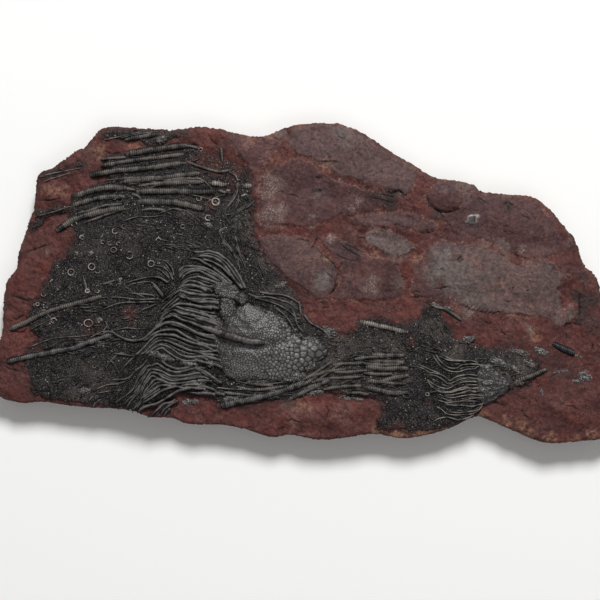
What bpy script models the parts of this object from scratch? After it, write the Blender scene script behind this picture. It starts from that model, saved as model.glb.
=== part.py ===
"""A crinoid fossil: a slab of red marl, lying on its back, with sea lilies on its bedding plane.

The slab is a broken plate of rock. Its upper face is a bedding plane that carries one large
crown (cup and arms), one small crown and two dozen lengths of stem. To the right of them the
marl swells into low nodules with worn channels between.

Units are metres. X runs along the slab, Y towards its upper long edge, Z out of the bedding
plane. The origin is under the middle of the slab, on the surface that it lies on. Places on
the slab are written in millimetres, as (x, y), and go through to_metres.
"""

import math

import bmesh
import bpy
import numpy as np
from mathutils import Vector, noise

MM = 0.001

# Driving dimensions
BED_HEIGHT = 0.026  # from the back of the slab to the bedding plane
GAP = 0.0003  # between the bedding plane and a fossil that lies on it
GRID_STEP = 0.0115  # spacing of the points that shape the marl

# Broken edge: (height, how far the wall stands back from the outline)
EDGE_LEVELS = (
    (0.000, 0.0030),
    (0.007, 0.0004),
    (0.017, 0.0008),
    (BED_HEIGHT - 0.004, 0.0002),
    (BED_HEIGHT + 0.010, 0.0060),
)
EDGE_ROUGHNESS = 0.0016
EDGE_GRAIN = 0.020  # size of the lumps on the broken edge

# Cup and arms of the large crown
CROWN_RIM = 0.0012  # thickness at its border
CUP_RISE = 0.0125
ARM_SHEET_RISE = 0.0042
ARM_COUNT = 26
ARM_RIDGE = 0.0017
PLATE_BUMP = 0.0016
PLATE_SIZE = 0.009  # the plates near the foot of the cup
CUP_END = 0.34  # how far along the crown the cup reaches, from its foot at 0 to the arm tips at 1
CUP_ROWS = 15
ARM_ROWS = 13
RAY_RIDGE_RISE = 0.0028
RAY_RIDGE_HALF_WIDTH = 0.0042

# Small crown
SMALL_ARM_COUNT = 12
SMALL_CUP_END = 0.25
SMALL_CUP_ROWS = 4
SMALL_ARM_ROWS = 9
SMALL_CUP_RISE = 0.0035
SMALL_SHEET_RISE = 0.0016
SMALL_ARM_RIDGE = 0.0012

# Stems
COLUMNAL_WAIST = 0.86  # radius between two swollen columnals, as a share of the full radius
STEM_TIP = 0.62  # radius at a stem's ends, as a share of its full radius
STEM_STEP = 0.0065  # spacing of the rings that make a stem
STEM_SIDES = 5  # facets over the back of a stem

# Outline of the slab, clockwise from the lower left corner
OUTLINE = (
    (-304, -116), (-309, -98), (-308, -72), (-301, -46), (-300, -18), (-296, 0),
    (-287, 12), (-284, 31), (-276, 56), (-269, 78), (-266, 106), (-248, 116),
    (-229, 131), (-219, 135), (-206, 151), (-192, 155), (-164, 154), (-135, 152),
    (-107, 155), (-86, 153), (-70, 149), (-43, 145), (-24, 152), (-4, 158),
    (20, 162), (36, 158), (60, 148), (93, 126), (108, 118), (129, 105),
    (150, 101), (169, 97), (178, 90), (203, 87), (226, 85), (243, 75),
    (256, 60), (271, 41), (278, 20), (291, 5), (298, -16), (306, -48),
    (309, -84), (305, -115), (308, -140), (302, -156), (277, -160), (243, -162),
    (216, -153), (192, -142), (171, -136), (144, -148), (118, -155), (97, -157),
    (70, -153), (47, -156), (16, -159), (-12, -154), (-33, -156), (-57, -149),
    (-80, -144), (-116, -143), (-132, -137), (-154, -136), (-178, -129), (-222, -126),
    (-262, -121), (-280, -122),
)

# Low nodules in the marl: middle, half length, half width, turn in degrees, rise
NODULES = (
    ((26, 120), 58, 36, 12, 0.0058),
    ((-4, 68), 42, 30, 0, 0.0040),
    ((85, 95), 52, 26, -28, 0.0052),
    ((4, 22), 47, 33, -18, 0.0050),
    ((78, 21), 36, 30, -20, 0.0045),
    ((82, 56), 40, 14, -8, 0.0042),
    ((145, 86), 28, 16, -12, 0.0046),
    ((212, 62), 44, 22, -14, 0.0050),
    ((166, 16), 48, 30, -14, 0.0056),
    ((238, 6), 40, 30, 6, 0.0046),
    ((266, -124), 40, 28, 0, 0.0036),
    ((18, -134), 60, 16, 4, 0.0036),
    ((-281, 8), 14, 34, -4, 0.0026),
    ((-282, -104), 22, 14, 0, 0.0024),
    ((-254, 96), 13, 17, 0, 0.0030),
    ((-62, 131), 32, 14, -14, 0.0030),
)

# Lines that the large crown follows, each from the foot of the cup to the arm tips
LARGE_CROWN_LINES = (
    ((21, -65), (-12, -48), (-52, -17), (-74, 13), (-93, 29), (-110, 32), (-126, 29)),
    ((21, -67), (-15, -50), (-58, -20), (-83, 4), (-105, 15), (-122, 8), (-132, -5)),
    ((22, -69), (-20, -52), (-74, -24), (-97, -17), (-122, -11), (-136, -21), (-150, -35)),
    ((22, -71), (-24, -56), (-77, -39), (-101, -31), (-125, -24), (-142, -36), (-162, -53)),
    ((23, -73), (-26, -62), (-79, -55), (-103, -47), (-129, -38), (-148, -51), (-173, -64)),
    ((23, -75), (-27, -72), (-80, -69), (-102, -65), (-133, -55), (-153, -70), (-177, -89)),
    ((23, -77), (-26, -82), (-80, -83), (-104, -81), (-138, -73), (-158, -92), (-184, -114)),
    ((22, -79), (-24, -90), (-79, -94), (-105, -94), (-144, -94), (-162, -108), (-181, -121)),
    ((21, -81), (-20, -96), (-76, -104), (-104, -103), (-132, -106), (-154, -117), (-170, -124)),
)
RAY_RIDGE = ((-92, -47), (-80, -51), (-66, -55), (-50, -58), (-36, -60))

# Lines that the small crown follows, each from the foot of its cup to the arm tips
SMALL_CROWN_LINES = (
    ((206, -93), (188, -84), (174, -80), (158, -85), (144, -84), (132, -73), (126, -67)),
    ((207, -96), (190, -91), (176, -88), (158, -94), (142, -96), (130, -88), (122, -83)),
    ((208, -100), (192, -100), (177, -99), (159, -101), (142, -105), (130, -100), (120, -96)),
    ((207, -103), (190, -108), (178, -109), (160, -111), (143, -113), (130, -111), (119, -109)),
    ((206, -106), (186, -117), (176, -120), (160, -122), (144, -124), (130, -121), (118, -119)),
    ((205, -108), (182, -125), (170, -130), (156, -133), (142, -132), (130, -127), (120, -125)),
)

# Lengths of stem: name, half width in millimetres, route
STEMS = (
    ("upper_stem_1", 3.8, ((-178, 129), (-160, 132), (-142, 135), (-117, 138))),
    ("upper_stem_2", 2.6, ((-204, 118), (-188, 120), (-169, 123), (-145, 126), (-120, 129))),
    ("upper_stem_3", 3.4, ((-215, 108), (-189, 112), (-157, 115), (-124, 120))),
    ("upper_stem_4", 3.0, ((-184, 101), (-154, 104), (-128, 107), (-104, 110))),
    ("upper_stem_5", 2.8, ((-154, 98), (-128, 100), (-100, 101))),
    ("upper_stem_6", 3.9, ((-228, 87), (-214, 92), (-198, 95), (-178, 95))),
    ("upper_stem_7", 3.5, ((-168, 91), (-134, 92), (-112, 91), (-90, 91))),
    ("upper_stem_8", 3.9, ((-166, 81), (-138, 81), (-118, 78), (-101, 74))),
    ("upper_stem_9", 3.0, ((-233, 77), (-214, 83), (-196, 86), (-180, 86))),
    ("upper_stem_10", 3.8, ((-248, 52), (-228, 64), (-202, 71), (-180, 75))),
    ("upper_stem_11", 2.7, ((-180, 144), (-162, 147), (-145, 149))),
    ("short_stem_1", 3.2, ((-96, 100), (-86, 99), (-77, 98))),
    ("short_stem_2", 3.0, ((-65, 97), (-58, 97), (-52, 98))),
    ("left_stem_1", 3.0, ((-294, -47), (-278, -40), (-253, -28), (-228, -21), (-202, -14))),
    ("left_stem_2", 3.2, ((-297, -79), (-278, -75), (-253, -70), (-232, -66), (-215, -60), (-190, -51))),
    ("lower_stem_1", 3.8, ((-82, -123), (-66, -119), (-47, -115), (-27, -110), (-13, -105), (1, -99))),
    ("lower_stem_2", 3.0, ((-16, -117), (3, -108), (18, -101), (30, -94))),
    ("middle_stem_1", 2.4, ((56, -39), (69, -42), (86, -46), (104, -50))),
    ("middle_stem_2", 2.4, ((66, -73), (83, -73), (100, -73))),
    ("middle_stem_3", 2.2, ((70, -79), (84, -79), (100, -80))),
    ("middle_stem_4", 2.7, ((60, -83), (76, -86), (90, -86), (104, -86))),
    ("middle_stem_5", 2.6, ((62, -98), (76, -99), (91, -95), (104, -93))),
    ("middle_stem_6", 3.0, ((62, -105), (72, -107), (86, -110), (104, -110))),
    ("right_stem_1", 2.4, ((128, -23), (142, -27), (157, -37))),
    ("right_stem_2", 3.0, ((212, -98), (222, -95), (232, -91), (242, -87))),
    ("right_stem_3", 3.4, ((247, -61), (258, -66), (270, -71))),
)

MARL = ("marl", (0.13, 0.055, 0.048, 1.0), 0.72)
CALCITE = ("crinoid_calcite", (0.075, 0.07, 0.072, 1.0), 0.5)


def to_metres(points):
    """(x, y) pairs in millimetres as an array in metres."""
    return np.array(points, float) * MM


def along_curve(points, places):
    """Points at the given places, 0 to 1, on the smooth curve through points (Catmull-Rom)."""
    first = 2 * points[0] - points[1]
    last = 2 * points[-1] - points[-2]
    held = np.concatenate([first[None], points, last[None]])
    spans = len(points) - 1
    place = np.asarray(places) * spans
    span = np.minimum(place.astype(int), spans - 1)
    t = (place - span).reshape(-1, *([1] * (points.ndim - 1)))
    a, b, c, d = held[span], held[span + 1], held[span + 2], held[span + 3]
    return 0.5 * (
        2 * b
        + (c - a) * t
        + (2 * a - 5 * b + 4 * c - d) * t**2
        + (3 * b - a - 3 * c + d) * t**3
    )


def distance_to_line(x, y, line):
    """Shortest distance from (x, y) to a route of straight pieces."""
    nearest = math.inf
    for start, end in zip(line[:-1], line[1:]):
        step = end - start
        t = np.dot((x - start[0], y - start[1]), step) / np.dot(step, step)
        foot = start + step * min(max(t, 0.0), 1.0)
        nearest = min(nearest, math.hypot(x - foot[0], y - foot[1]))
    return nearest


def collection_of(name):
    made = bpy.data.collections.new(name)
    bpy.context.scene.collection.children.link(made)
    return made


def material_of(name, colour, roughness):
    made = bpy.data.materials.new(name)
    made.use_nodes = True
    shader = made.node_tree.nodes["Principled BSDF"]
    shader.inputs["Base Color"].default_value = colour
    shader.inputs["Roughness"].default_value = roughness
    made.diffuse_color = colour
    return made


def object_from(mesh_data, name, collection, material=None):
    """Wraps a bmesh as a named object."""
    mesh = bpy.data.meshes.new(name)
    mesh_data.to_mesh(mesh)
    mesh_data.free()
    made = bpy.data.objects.new(name, mesh)
    collection.objects.link(made)
    if material:
        mesh.materials.append(material)
    return made


def marl_height(x, y):
    """Height of the marl at (x, y): the bedding plane, with nodules standing on it."""
    rise = 0.0
    for middle, half_length, half_width, turn, height in NODULES:
        dx, dy = x - middle[0] * MM, y - middle[1] * MM
        c, s = math.cos(math.radians(turn)), math.sin(math.radians(turn))
        u = (dx * c + dy * s) / (half_length * MM)
        v = (dy * c - dx * s) / (half_width * MM)
        inside = max(0.0, 1.0 - (u * u + v * v) ** 2)
        rise = max(rise, height * math.sqrt(inside))
    return BED_HEIGHT + rise


def edge_ring(outline, inward, height, setback):
    """The outline at one level, standing back from its full size and roughened as by a break."""
    ring = []
    for (x, y), (in_x, in_y) in zip(outline, inward):
        lump = noise.noise(Vector((x, y, height)) / EDGE_GRAIN)
        back = setback + EDGE_ROUGHNESS * max(0.0, lump + 0.2)
        ring.append((x + in_x * back, y + in_y * back, height))
    return ring


def edge_block(collection):
    """The slab's plan as a block with a rough, broken edge: a loft through the edge's levels."""
    places = np.linspace(0, 1, 2 * len(OUTLINE) + 1)[:-1]
    outline = along_curve(to_metres(OUTLINE + OUTLINE[:1]), places)
    along = np.roll(outline, -1, axis=0) - np.roll(outline, 1, axis=0)
    inward = np.stack([along[:, 1], -along[:, 0]], axis=1)
    inward /= np.linalg.norm(inward, axis=1)[:, None]

    block = bmesh.new()
    below = None
    for height, setback in EDGE_LEVELS:
        ring = [block.verts.new(place) for place in edge_ring(outline, inward, height, setback)]
        if below is None:
            block.faces.new(ring)
        else:
            for i in range(len(ring)):
                block.faces.new((below[i - 1], below[i], ring[i], ring[i - 1]))
        below = ring
    block.faces.new(below)
    bmesh.ops.recalc_face_normals(block, faces=block.faces)
    made = object_from(block, "edge_block", collection)
    made.hide_render = True
    made.display_type = "WIRE"
    return made


def make_slab(collection, cutters, material):
    """The marl: a grid shaped by marl_height and drawn down to the back, kept inside the edge block."""
    low, high = to_metres(OUTLINE).min(axis=0) - GRID_STEP, to_metres(OUTLINE).max(axis=0) + GRID_STEP
    cells = np.ceil((high - low) / GRID_STEP).astype(int)
    bpy.ops.mesh.primitive_grid_add(x_subdivisions=int(cells[0]), y_subdivisions=int(cells[1]), size=1)
    slab = bpy.context.object
    slab.name = slab.data.name = "marl_slab"
    for held in list(slab.users_collection):
        held.objects.unlink(slab)
    collection.objects.link(slab)

    relief = bmesh.new()
    relief.from_mesh(slab.data)
    middle, size = (low + high) / 2, high - low
    for vert in relief.verts:
        x, y = middle[0] + vert.co.x * size[0], middle[1] + vert.co.y * size[1]
        vert.co = (x, y, marl_height(x, y))
    drawn = bmesh.ops.extrude_face_region(relief, geom=relief.faces[:])["geom"]
    for vert in (g for g in drawn if isinstance(g, bmesh.types.BMVert)):
        vert.co.z = 0.0
    bmesh.ops.dissolve_limit(
        relief, angle_limit=math.radians(0.05), verts=relief.verts[:], edges=relief.edges[:]
    )
    bmesh.ops.recalc_face_normals(relief, faces=relief.faces)
    relief.to_mesh(slab.data)
    relief.free()
    slab.data.materials.append(material)

    trim = slab.modifiers.new("broken edge", "BOOLEAN")
    trim.operation = "INTERSECT"
    trim.solver = "EXACT"
    trim.object = edge_block(cutters)
    return slab


def crown(name, lines, arm_count, cup_end, cup_rows, arm_rows, height_at, collection, material):
    """A sheet lofted through the crown's lines, closed by a flat face just over the bedding plane.

    height_at(across, along, x, y, on_arm) gives the height of a point above that face; across
    runs from 0 to 1 over the lines, along from 0 at the foot to 1 at the arm tips, and on_arm
    says whether the point is on the crest of an arm or between two."""
    columns, rows = 2 * arm_count + 1, cup_rows + arm_rows
    places = np.concatenate(
        [np.linspace(0, cup_end, cup_rows, endpoint=False), np.linspace(cup_end, 1, arm_rows)]
    )
    stations = np.array([along_curve(to_metres(line), places) for line in lines])
    sheet = along_curve(stations, np.linspace(0, 1, columns))

    bpy.ops.mesh.primitive_grid_add(x_subdivisions=columns - 1, y_subdivisions=rows - 1, size=1)
    made = bpy.context.object
    made.name = made.data.name = name
    for held in list(made.users_collection):
        held.objects.unlink(made)
    collection.objects.link(made)

    form = bmesh.new()
    form.from_mesh(made.data)
    for vert in form.verts:
        column = round((vert.co.x + 0.5) * (columns - 1))
        row = round((vert.co.y + 0.5) * (rows - 1))
        x, y = sheet[column, row]
        rise = height_at(column / (columns - 1), places[row], x, y, column % 2 == 1)
        vert.co = (x, y, BED_HEIGHT + GAP + rise)
    foot = bmesh.ops.extrude_face_region(form, geom=form.faces[:])["geom"]
    for vert in (g for g in foot if isinstance(g, bmesh.types.BMVert)):
        vert.co.z = BED_HEIGHT + GAP
    flat = [e for e in form.edges if all(v.co.z < BED_HEIGHT + GAP + 1e-6 for v in e.verts)]
    bmesh.ops.dissolve_limit(form, angle_limit=math.radians(0.05), verts=[], edges=flat)
    bmesh.ops.recalc_face_normals(form, faces=form.faces)
    form.to_mesh(made.data)
    form.free()
    made.data.materials.append(material)
    return made


def rounded(across, shoulder):
    """1 over the middle of a sheet, falling to 0 at both sides within a shoulder."""
    side = min(across, 1 - across) / shoulder
    return math.sqrt(max(0.0, 1 - (1 - min(side, 1.0)) ** 2))


def plate_bump(x, y):
    """The swelling of the cup's plates: 1 in the middle of a plate, 0 where two meet."""
    nearest, second = noise.voronoi(Vector((x, y, 0.0)) / PLATE_SIZE)[0][:2]
    return min(1.0, 2.2 * (second - nearest))


def large_crown_height(across, along, x, y, on_arm):
    """The domed cup with its plates, running out into a sheet of ridged arms."""
    cup = math.sin(math.pi * min(along / (CUP_END * 1.25), 1.0)) ** 0.8 * rounded(across, 0.5)
    arms = min(along / CUP_END, 1.0) * (1.35 - 0.75 * along) * rounded(across, 0.12)
    rise = CROWN_RIM + max(CUP_RISE * cup, ARM_SHEET_RISE * arms)
    if along < CUP_END:
        rise += PLATE_BUMP * plate_bump(x, y)
    elif on_arm:
        rise += ARM_RIDGE
    away = distance_to_line(x, y, to_metres(RAY_RIDGE))
    return rise + RAY_RIDGE_RISE * max(0.0, 1 - (away / RAY_RIDGE_HALF_WIDTH) ** 2)


def small_crown_height(across, along, x, y, on_arm):
    """A small low cup, with ridged arms."""
    cup = math.sin(math.pi * min(along / (1.6 * SMALL_CUP_END), 1.0)) * rounded(across, 0.5)
    rise = CROWN_RIM / 2 + SMALL_SHEET_RISE * rounded(across, 0.2) + SMALL_CUP_RISE * cup
    return rise + (SMALL_ARM_RIDGE if on_arm and along > SMALL_CUP_END else 0.0)


def stem_section(half_width, collection):
    """The half-round section of a stem that is bedded in the marl, as a closed curve."""
    section = bpy.data.curves.new("stem_section", "CURVE")
    section.dimensions = "2D"
    spline = section.splines.new("POLY")
    spline.points.add(STEM_SIDES)
    for point, i in zip(spline.points, range(STEM_SIDES + 1)):
        turn = math.pi * i / STEM_SIDES
        point.co = (-half_width * math.cos(turn), half_width * math.sin(turn), 0, 1)
    spline.use_cyclic_u = True
    made = bpy.data.objects.new("stem_section", section)
    made.hide_render = True
    collection.objects.link(made)
    return made


def make_stem(name, half_width, route, collection, guides, material):
    """A length of stem: a half-round tube that swells at every other ring and thins at its ends."""
    line = to_metres(route)
    length = sum(np.linalg.norm(np.diff(line, axis=0), axis=1))
    rings = max(4, round(length / STEM_STEP))
    rings += 1 - rings % 2
    curve = bpy.data.curves.new(name, "CURVE")
    curve.dimensions = "3D"
    curve.twist_mode = "Z_UP"
    curve.bevel_mode = "OBJECT"
    curve.bevel_object = stem_section(half_width * MM, guides)
    curve.use_fill_caps = True
    spline = curve.splines.new("POLY")
    spline.points.add(rings - 1)
    for i, (x, y) in enumerate(along_curve(line, np.linspace(0, 1, rings))):
        at_end = i in (0, rings - 1)
        spline.points[i].co = (x, y, BED_HEIGHT + GAP, 1)
        spline.points[i].radius = STEM_TIP if at_end else (1.0 if i % 2 else COLUMNAL_WAIST)
    curve.materials.append(material)
    made = bpy.data.objects.new(name, curve)
    collection.objects.link(made)
    return made


def main():
    for old in list(bpy.data.objects):
        bpy.data.objects.remove(old, do_unlink=True)
    fossil = collection_of("crinoid_fossil")
    guides = collection_of("guides")
    marl, calcite = material_of(*MARL), material_of(*CALCITE)

    make_slab(fossil, guides, marl)
    crown(
        "large_crown", LARGE_CROWN_LINES, ARM_COUNT, CUP_END, CUP_ROWS, ARM_ROWS,
        large_crown_height, fossil, calcite,
    )
    crown(
        "small_crown", SMALL_CROWN_LINES, SMALL_ARM_COUNT, SMALL_CUP_END, SMALL_CUP_ROWS,
        SMALL_ARM_ROWS, small_crown_height, fossil, calcite,
    )
    for name, half_width, route in STEMS:
        make_stem(name, half_width, route, fossil, guides, calcite)


main()
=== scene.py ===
# %% [markdown]
# # A crinoid slab, from the bare model to the finished look
#
# A crinoid slab is the floor of an old sea: red marl, with a mat of dark sea lily remains on
# its bedding plane. This lesson dresses the plain solids of such a slab. It works on a few
# named fields (height, stain, plate) that every piece reads, so that a stem, a grain of
# debris and the rock under them always agree on where the surface is.

import math

import bmesh
import bpy
import numpy as np
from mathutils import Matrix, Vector, kdtree
from mathutils.geometry import delaunay_2d_cdt


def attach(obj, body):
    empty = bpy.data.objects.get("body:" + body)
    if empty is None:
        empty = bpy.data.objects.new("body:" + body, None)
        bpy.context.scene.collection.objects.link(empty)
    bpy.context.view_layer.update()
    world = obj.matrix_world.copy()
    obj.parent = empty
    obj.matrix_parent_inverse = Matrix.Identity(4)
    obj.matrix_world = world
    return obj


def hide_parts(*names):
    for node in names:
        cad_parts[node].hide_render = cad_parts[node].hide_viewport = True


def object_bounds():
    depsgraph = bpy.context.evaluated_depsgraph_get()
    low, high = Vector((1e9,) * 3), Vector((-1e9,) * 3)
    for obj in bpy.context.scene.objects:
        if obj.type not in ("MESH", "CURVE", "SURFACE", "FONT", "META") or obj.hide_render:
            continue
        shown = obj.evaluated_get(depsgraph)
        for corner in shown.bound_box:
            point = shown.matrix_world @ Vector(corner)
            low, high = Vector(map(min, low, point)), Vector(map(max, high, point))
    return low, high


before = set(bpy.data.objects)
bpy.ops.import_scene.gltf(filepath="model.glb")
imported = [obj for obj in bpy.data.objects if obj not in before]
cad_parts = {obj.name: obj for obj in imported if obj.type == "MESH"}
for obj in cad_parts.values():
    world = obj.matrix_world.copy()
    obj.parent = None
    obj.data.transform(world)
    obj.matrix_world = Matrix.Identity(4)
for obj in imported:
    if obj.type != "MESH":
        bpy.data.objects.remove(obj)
cad_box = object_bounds()
MM = 0.001
print("frame:", len(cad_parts), "solids")

# %% [markdown]
# ## Colours, and one helper for nodes
#
# Colours are read off real rock as sRGB hex values, but shaders work in linear light, so one
# function converts them. One more function adds a node of any kind, to a material or to a
# geometry tree: it sets the node's properties, then links or fills its inputs.

# %% Colour and node helpers
def linear(hex_colour):
    """An sRGB hex value, such as "#5c3a37", as linear RGBA."""
    channels = [int(hex_colour[i:i + 2], 16) / 255 for i in (1, 3, 5)]
    return [c / 12.92 if c <= 0.04045 else ((c + 0.055) / 1.055) ** 2.4 for c in channels] + [1.0]


def add(tree, kind, *inputs, **settings):
    """Adds one node. settings are its properties. inputs are what its first sockets get, in order,
    or one dict of them by name: each is a value, a socket, or a node whose first output is used."""
    made = tree.nodes.new(kind)
    for name, value in settings.items():
        setattr(made, name, value)
    by_name = inputs and isinstance(inputs[0], dict)
    for name, value in (inputs[0] if by_name else dict(enumerate(inputs))).items():
        if isinstance(value, bpy.types.Node):
            value = value.outputs[0]
        if isinstance(value, bpy.types.NodeSocket):
            tree.links.new(value, made.inputs[name])
        else:
            made.inputs[name].default_value = value
    return made


# %% [markdown]
# ## Reading places off the slab
#
# Everything on the slab is placed by survey: a sheet is laid over one part of the bedding
# plane, and its squares are counted right and down from the sheet's own corner. A sheet has
# its corner and its number of squares to a millimetre. Small forms get a finer sheet.

# %% Survey sheets
CORNER = (-304.0, 282.5)  # of the whole survey, in slab millimetres

SHEETS = {  # name: (corner right of the survey's, corner below it, squares to a millimetre)
    "whole": (0, 0, 1),
    "upper": (30, 115, 6.817),
    "crown": (30, 225, 8.254),
    "arcs": (165, 190, 14.255),
    "fold": (90, 320, 12.062),
    "cup": (195, 285, 10.453),
    "middle": (320, 300, 8.711),
    "plates": (250, 115, 8.711),
    "lobes": (250, 215, 8.711),
    "right": (420, 170, 8.711),
    "low_right": (420, 300, 8.711),
    "left": (0, 160, 6.03),
    "stems": (20, 110, 6.272),
    "tail": (300, 290, 5.227),
    "close": (90, 230, 6.03),
    "gap": (150, 340, 18.45),
}


def survey(sheet, points):
    """Squares counted on a sheet (across, down, across, down ...), as (x, y) in slab millimetres."""
    across, down, squares = SHEETS[sheet]
    read = np.array(points, float).reshape(-1, 2) / squares
    return np.stack([CORNER[0] + across + read[:, 0], CORNER[1] - down - read[:, 1]], axis=1)


def smooth_line(points, count, closed=False):
    """count points on the smooth curve through points (Catmull-Rom)."""
    points = np.asarray(points, float)
    if closed:
        points = np.concatenate([points, points[:1]])
        held = np.concatenate([points[-2:-1], points, points[1:2]])
    else:
        held = np.concatenate([2 * points[:1] - points[1:2], points, 2 * points[-1:] - points[-2:-1]])
    spans = len(points) - 1
    place = np.linspace(0, spans, count, endpoint=not closed)
    span = np.minimum(place.astype(int), spans - 1)
    t = (place - span)[:, None]
    a, b, c, d = held[span], held[span + 1], held[span + 2], held[span + 3]
    return 0.5 * (2 * b + (c - a) * t + (2 * a - 5 * b + 4 * c - d) * t**2 + (3 * b - a - 3 * c + d) * t**3)


def length_of(line):
    """Length of a route."""
    return float(np.linalg.norm(np.diff(line, axis=0), axis=1).sum())


# %% [markdown]
# ## Noise that repeats
#
# Broken rock is rough at every scale at once, so its height is a sum of ripples, each half
# the size of the last. The ripples come from a hash of whole numbers and not from a random
# generator: the same place always gets the same height, whichever piece asks for it.

# %% Ripples and cells
def scatter_value(ix, iy, seed):
    """A number from 0 to 1 for a whole-numbered place, always the same one."""
    n = (ix * 73856093) ^ (iy * 19349663) ^ (seed * 83492791 + 12345)
    n = ((n ^ (n >> 13)) * 1274126177) & 0x7FFFFFFF
    n = ((n ^ (n >> 15)) * 668265263) & 0x7FFFFFFF
    return (n ^ (n >> 12)) % 65536 / 65535


def ripple(x, y, size, seed):
    """Smooth noise from -1 to 1 with lumps of the given size."""
    u, v = np.asarray(x, float) / size, np.asarray(y, float) / size
    iu, iv = np.floor(u).astype(np.int64), np.floor(v).astype(np.int64)
    fu, fv = u - iu, v - iv
    su, sv = fu**3 * (fu * (fu * 6 - 15) + 10), fv**3 * (fv * (fv * 6 - 15) + 10)
    total = 0.0
    for du in (0, 1):
        for dv in (0, 1):
            turn = 2 * math.pi * scatter_value(iu + du, iv + dv, seed)
            slope = np.cos(turn) * (fu - du) + np.sin(turn) * (fv - dv)
            total = total + slope * (su if du else 1 - su) * (sv if dv else 1 - sv)
    return 1.5 * total


def rough(x, y, size, seed, octaves=4, gain=0.5):
    """Ripples of falling size, summed."""
    total, share = 0.0, 1.0
    for octave in range(octaves):
        total = total + share * ripple(x, y, size / 2**octave, seed + 31 * octave)
        share *= gain
    return total


def cells(x, y, size, seed):
    """Distance to the nearest and next scattered point, in cells, and the nearest one's number."""
    u, v = np.asarray(x, float) / size, np.asarray(y, float) / size
    iu, iv = np.floor(u).astype(np.int64), np.floor(v).astype(np.int64)
    near, following = np.full(u.shape, 9.0), np.full(u.shape, 9.0)
    number = np.zeros(u.shape)
    for du in (-1, 0, 1):
        for dv in (-1, 0, 1):
            px = iu + du + scatter_value(iu + du, iv + dv, seed)
            py = iv + dv + scatter_value(iu + du, iv + dv, seed + 7)
            away = np.hypot(px - u, py - v)
            nearer = away < near
            following = np.where(nearer, near, np.minimum(following, away))
            number = np.where(nearer, scatter_value(iu + du, iv + dv, seed + 13), number)
            near = np.where(nearer, away, near)
    return near, following, number


def step(value, start, end):
    """0 below start, 1 above end, and a smooth rise between."""
    t = np.clip((value - start) / (end - start), 0, 1)
    return t * t * (3 - 2 * t)


# %% [markdown]
# ## Distances
#
# Two measures place every feature: how far a point is from a route (a crack, a ridge), and
# how far it is inside an outline (a plate, the mat of debris). Both work on whole arrays.

# %% Distance to a route and depth inside an outline
def away_from(x, y, line):
    """Distance from each point to a route of straight pieces."""
    nearest = np.full(np.shape(x), 1e9)
    for start, end in zip(line[:-1], line[1:]):
        run = end - start
        t = np.clip(((x - start[0]) * run[0] + (y - start[1]) * run[1]) / max(run @ run, 1e-9), 0, 1)
        nearest = np.minimum(nearest, np.hypot(x - start[0] - t * run[0], y - start[1] - t * run[1]))
    return nearest


def crossings_of(x, y, sides):
    """How many of an outline's sides a line from each point to the right crosses."""
    crossings = np.zeros(np.shape(x), int)
    for (ax, ay), (bx, by) in sides:
        if ay != by:
            crosses = (ay > y) != (by > y)
            crossings += crosses & (x < (bx - ax) * (y - ay) / (by - ay) + ax)
    return crossings


def depth_in(x, y, ring):
    """How far each point is inside a closed outline: negative outside it."""
    x, y = np.asarray(x, float), np.asarray(y, float)
    looped = np.concatenate([ring, ring[:1]])
    odd = crossings_of(x, y, np.stack([looped[:-1], looped[1:]], axis=1)) % 2 == 1
    return np.where(odd, 1, -1) * away_from(x, y, looped)


def depth_in_any(x, y, rings):
    deepest = np.full(np.shape(x), -1e9)
    for ring in rings:
        deepest = np.maximum(deepest, depth_in(x, y, ring))
    return deepest


def spots_field(x, y, spots, seed):
    """The strongest of some frayed round spots, each (across, down, radius in mm, strength)."""
    total = np.zeros(np.shape(x))
    for across, down, radius, strength in spots:
        mx, my = survey("whole", (across, down))[0]
        near = np.hypot(x - mx, y - my) < 1.8 * radius
        px, py = x[near], y[near]
        away = np.hypot(px - mx, py - my) + 0.45 * radius * rough(px, py, 0.8 * radius, seed, 3)
        total[near] = np.maximum(total[near], strength * (1 - step(away, 0.3 * radius, 1.15 * radius)))
    return total


# %% [markdown]
# ## The slab's outline and its swells
#
# The slab is a broken plate, 26 mm thick at the bedding plane. Its outline and the low
# nodules in the marl are the same ones as in the solid model, so the dressed slab fills it.

# %% Outline and swells
BED = 26.0  # height of the bedding plane
OUTLINE = np.array([-304,-116, -309,-98, -308,-72, -301,-46, -300,-18, -296,0, -287,12, -284,31, -276,56,
    -269,78, -266,106, -248,116, -229,131, -219,135, -206,151, -192,155, -164,154, -135,152, -107,155,
    -86,153, -70,149, -43,145, -24,152, -4,158, 20,162, 36,158, 60,148, 93,126, 108,118, 129,105, 150,101,
    169,97, 178,90, 203,87, 226,85, 243,75, 256,60, 271,41, 278,20, 291,5, 298,-16, 306,-48, 309,-84,
    305,-115, 308,-140, 302,-156, 277,-160, 243,-162, 216,-153, 192,-142, 171,-136, 144,-148, 118,-155,
    97,-157, 70,-153, 47,-156, 16,-159, -12,-154, -33,-156, -57,-149, -80,-144, -116,-143, -132,-137,
    -154,-136, -178,-129, -222,-126, -262,-121, -280,-122], float).reshape(-1, 2)
OUTER = smooth_line(OUTLINE, 2 * len(OUTLINE), closed=True)

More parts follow.
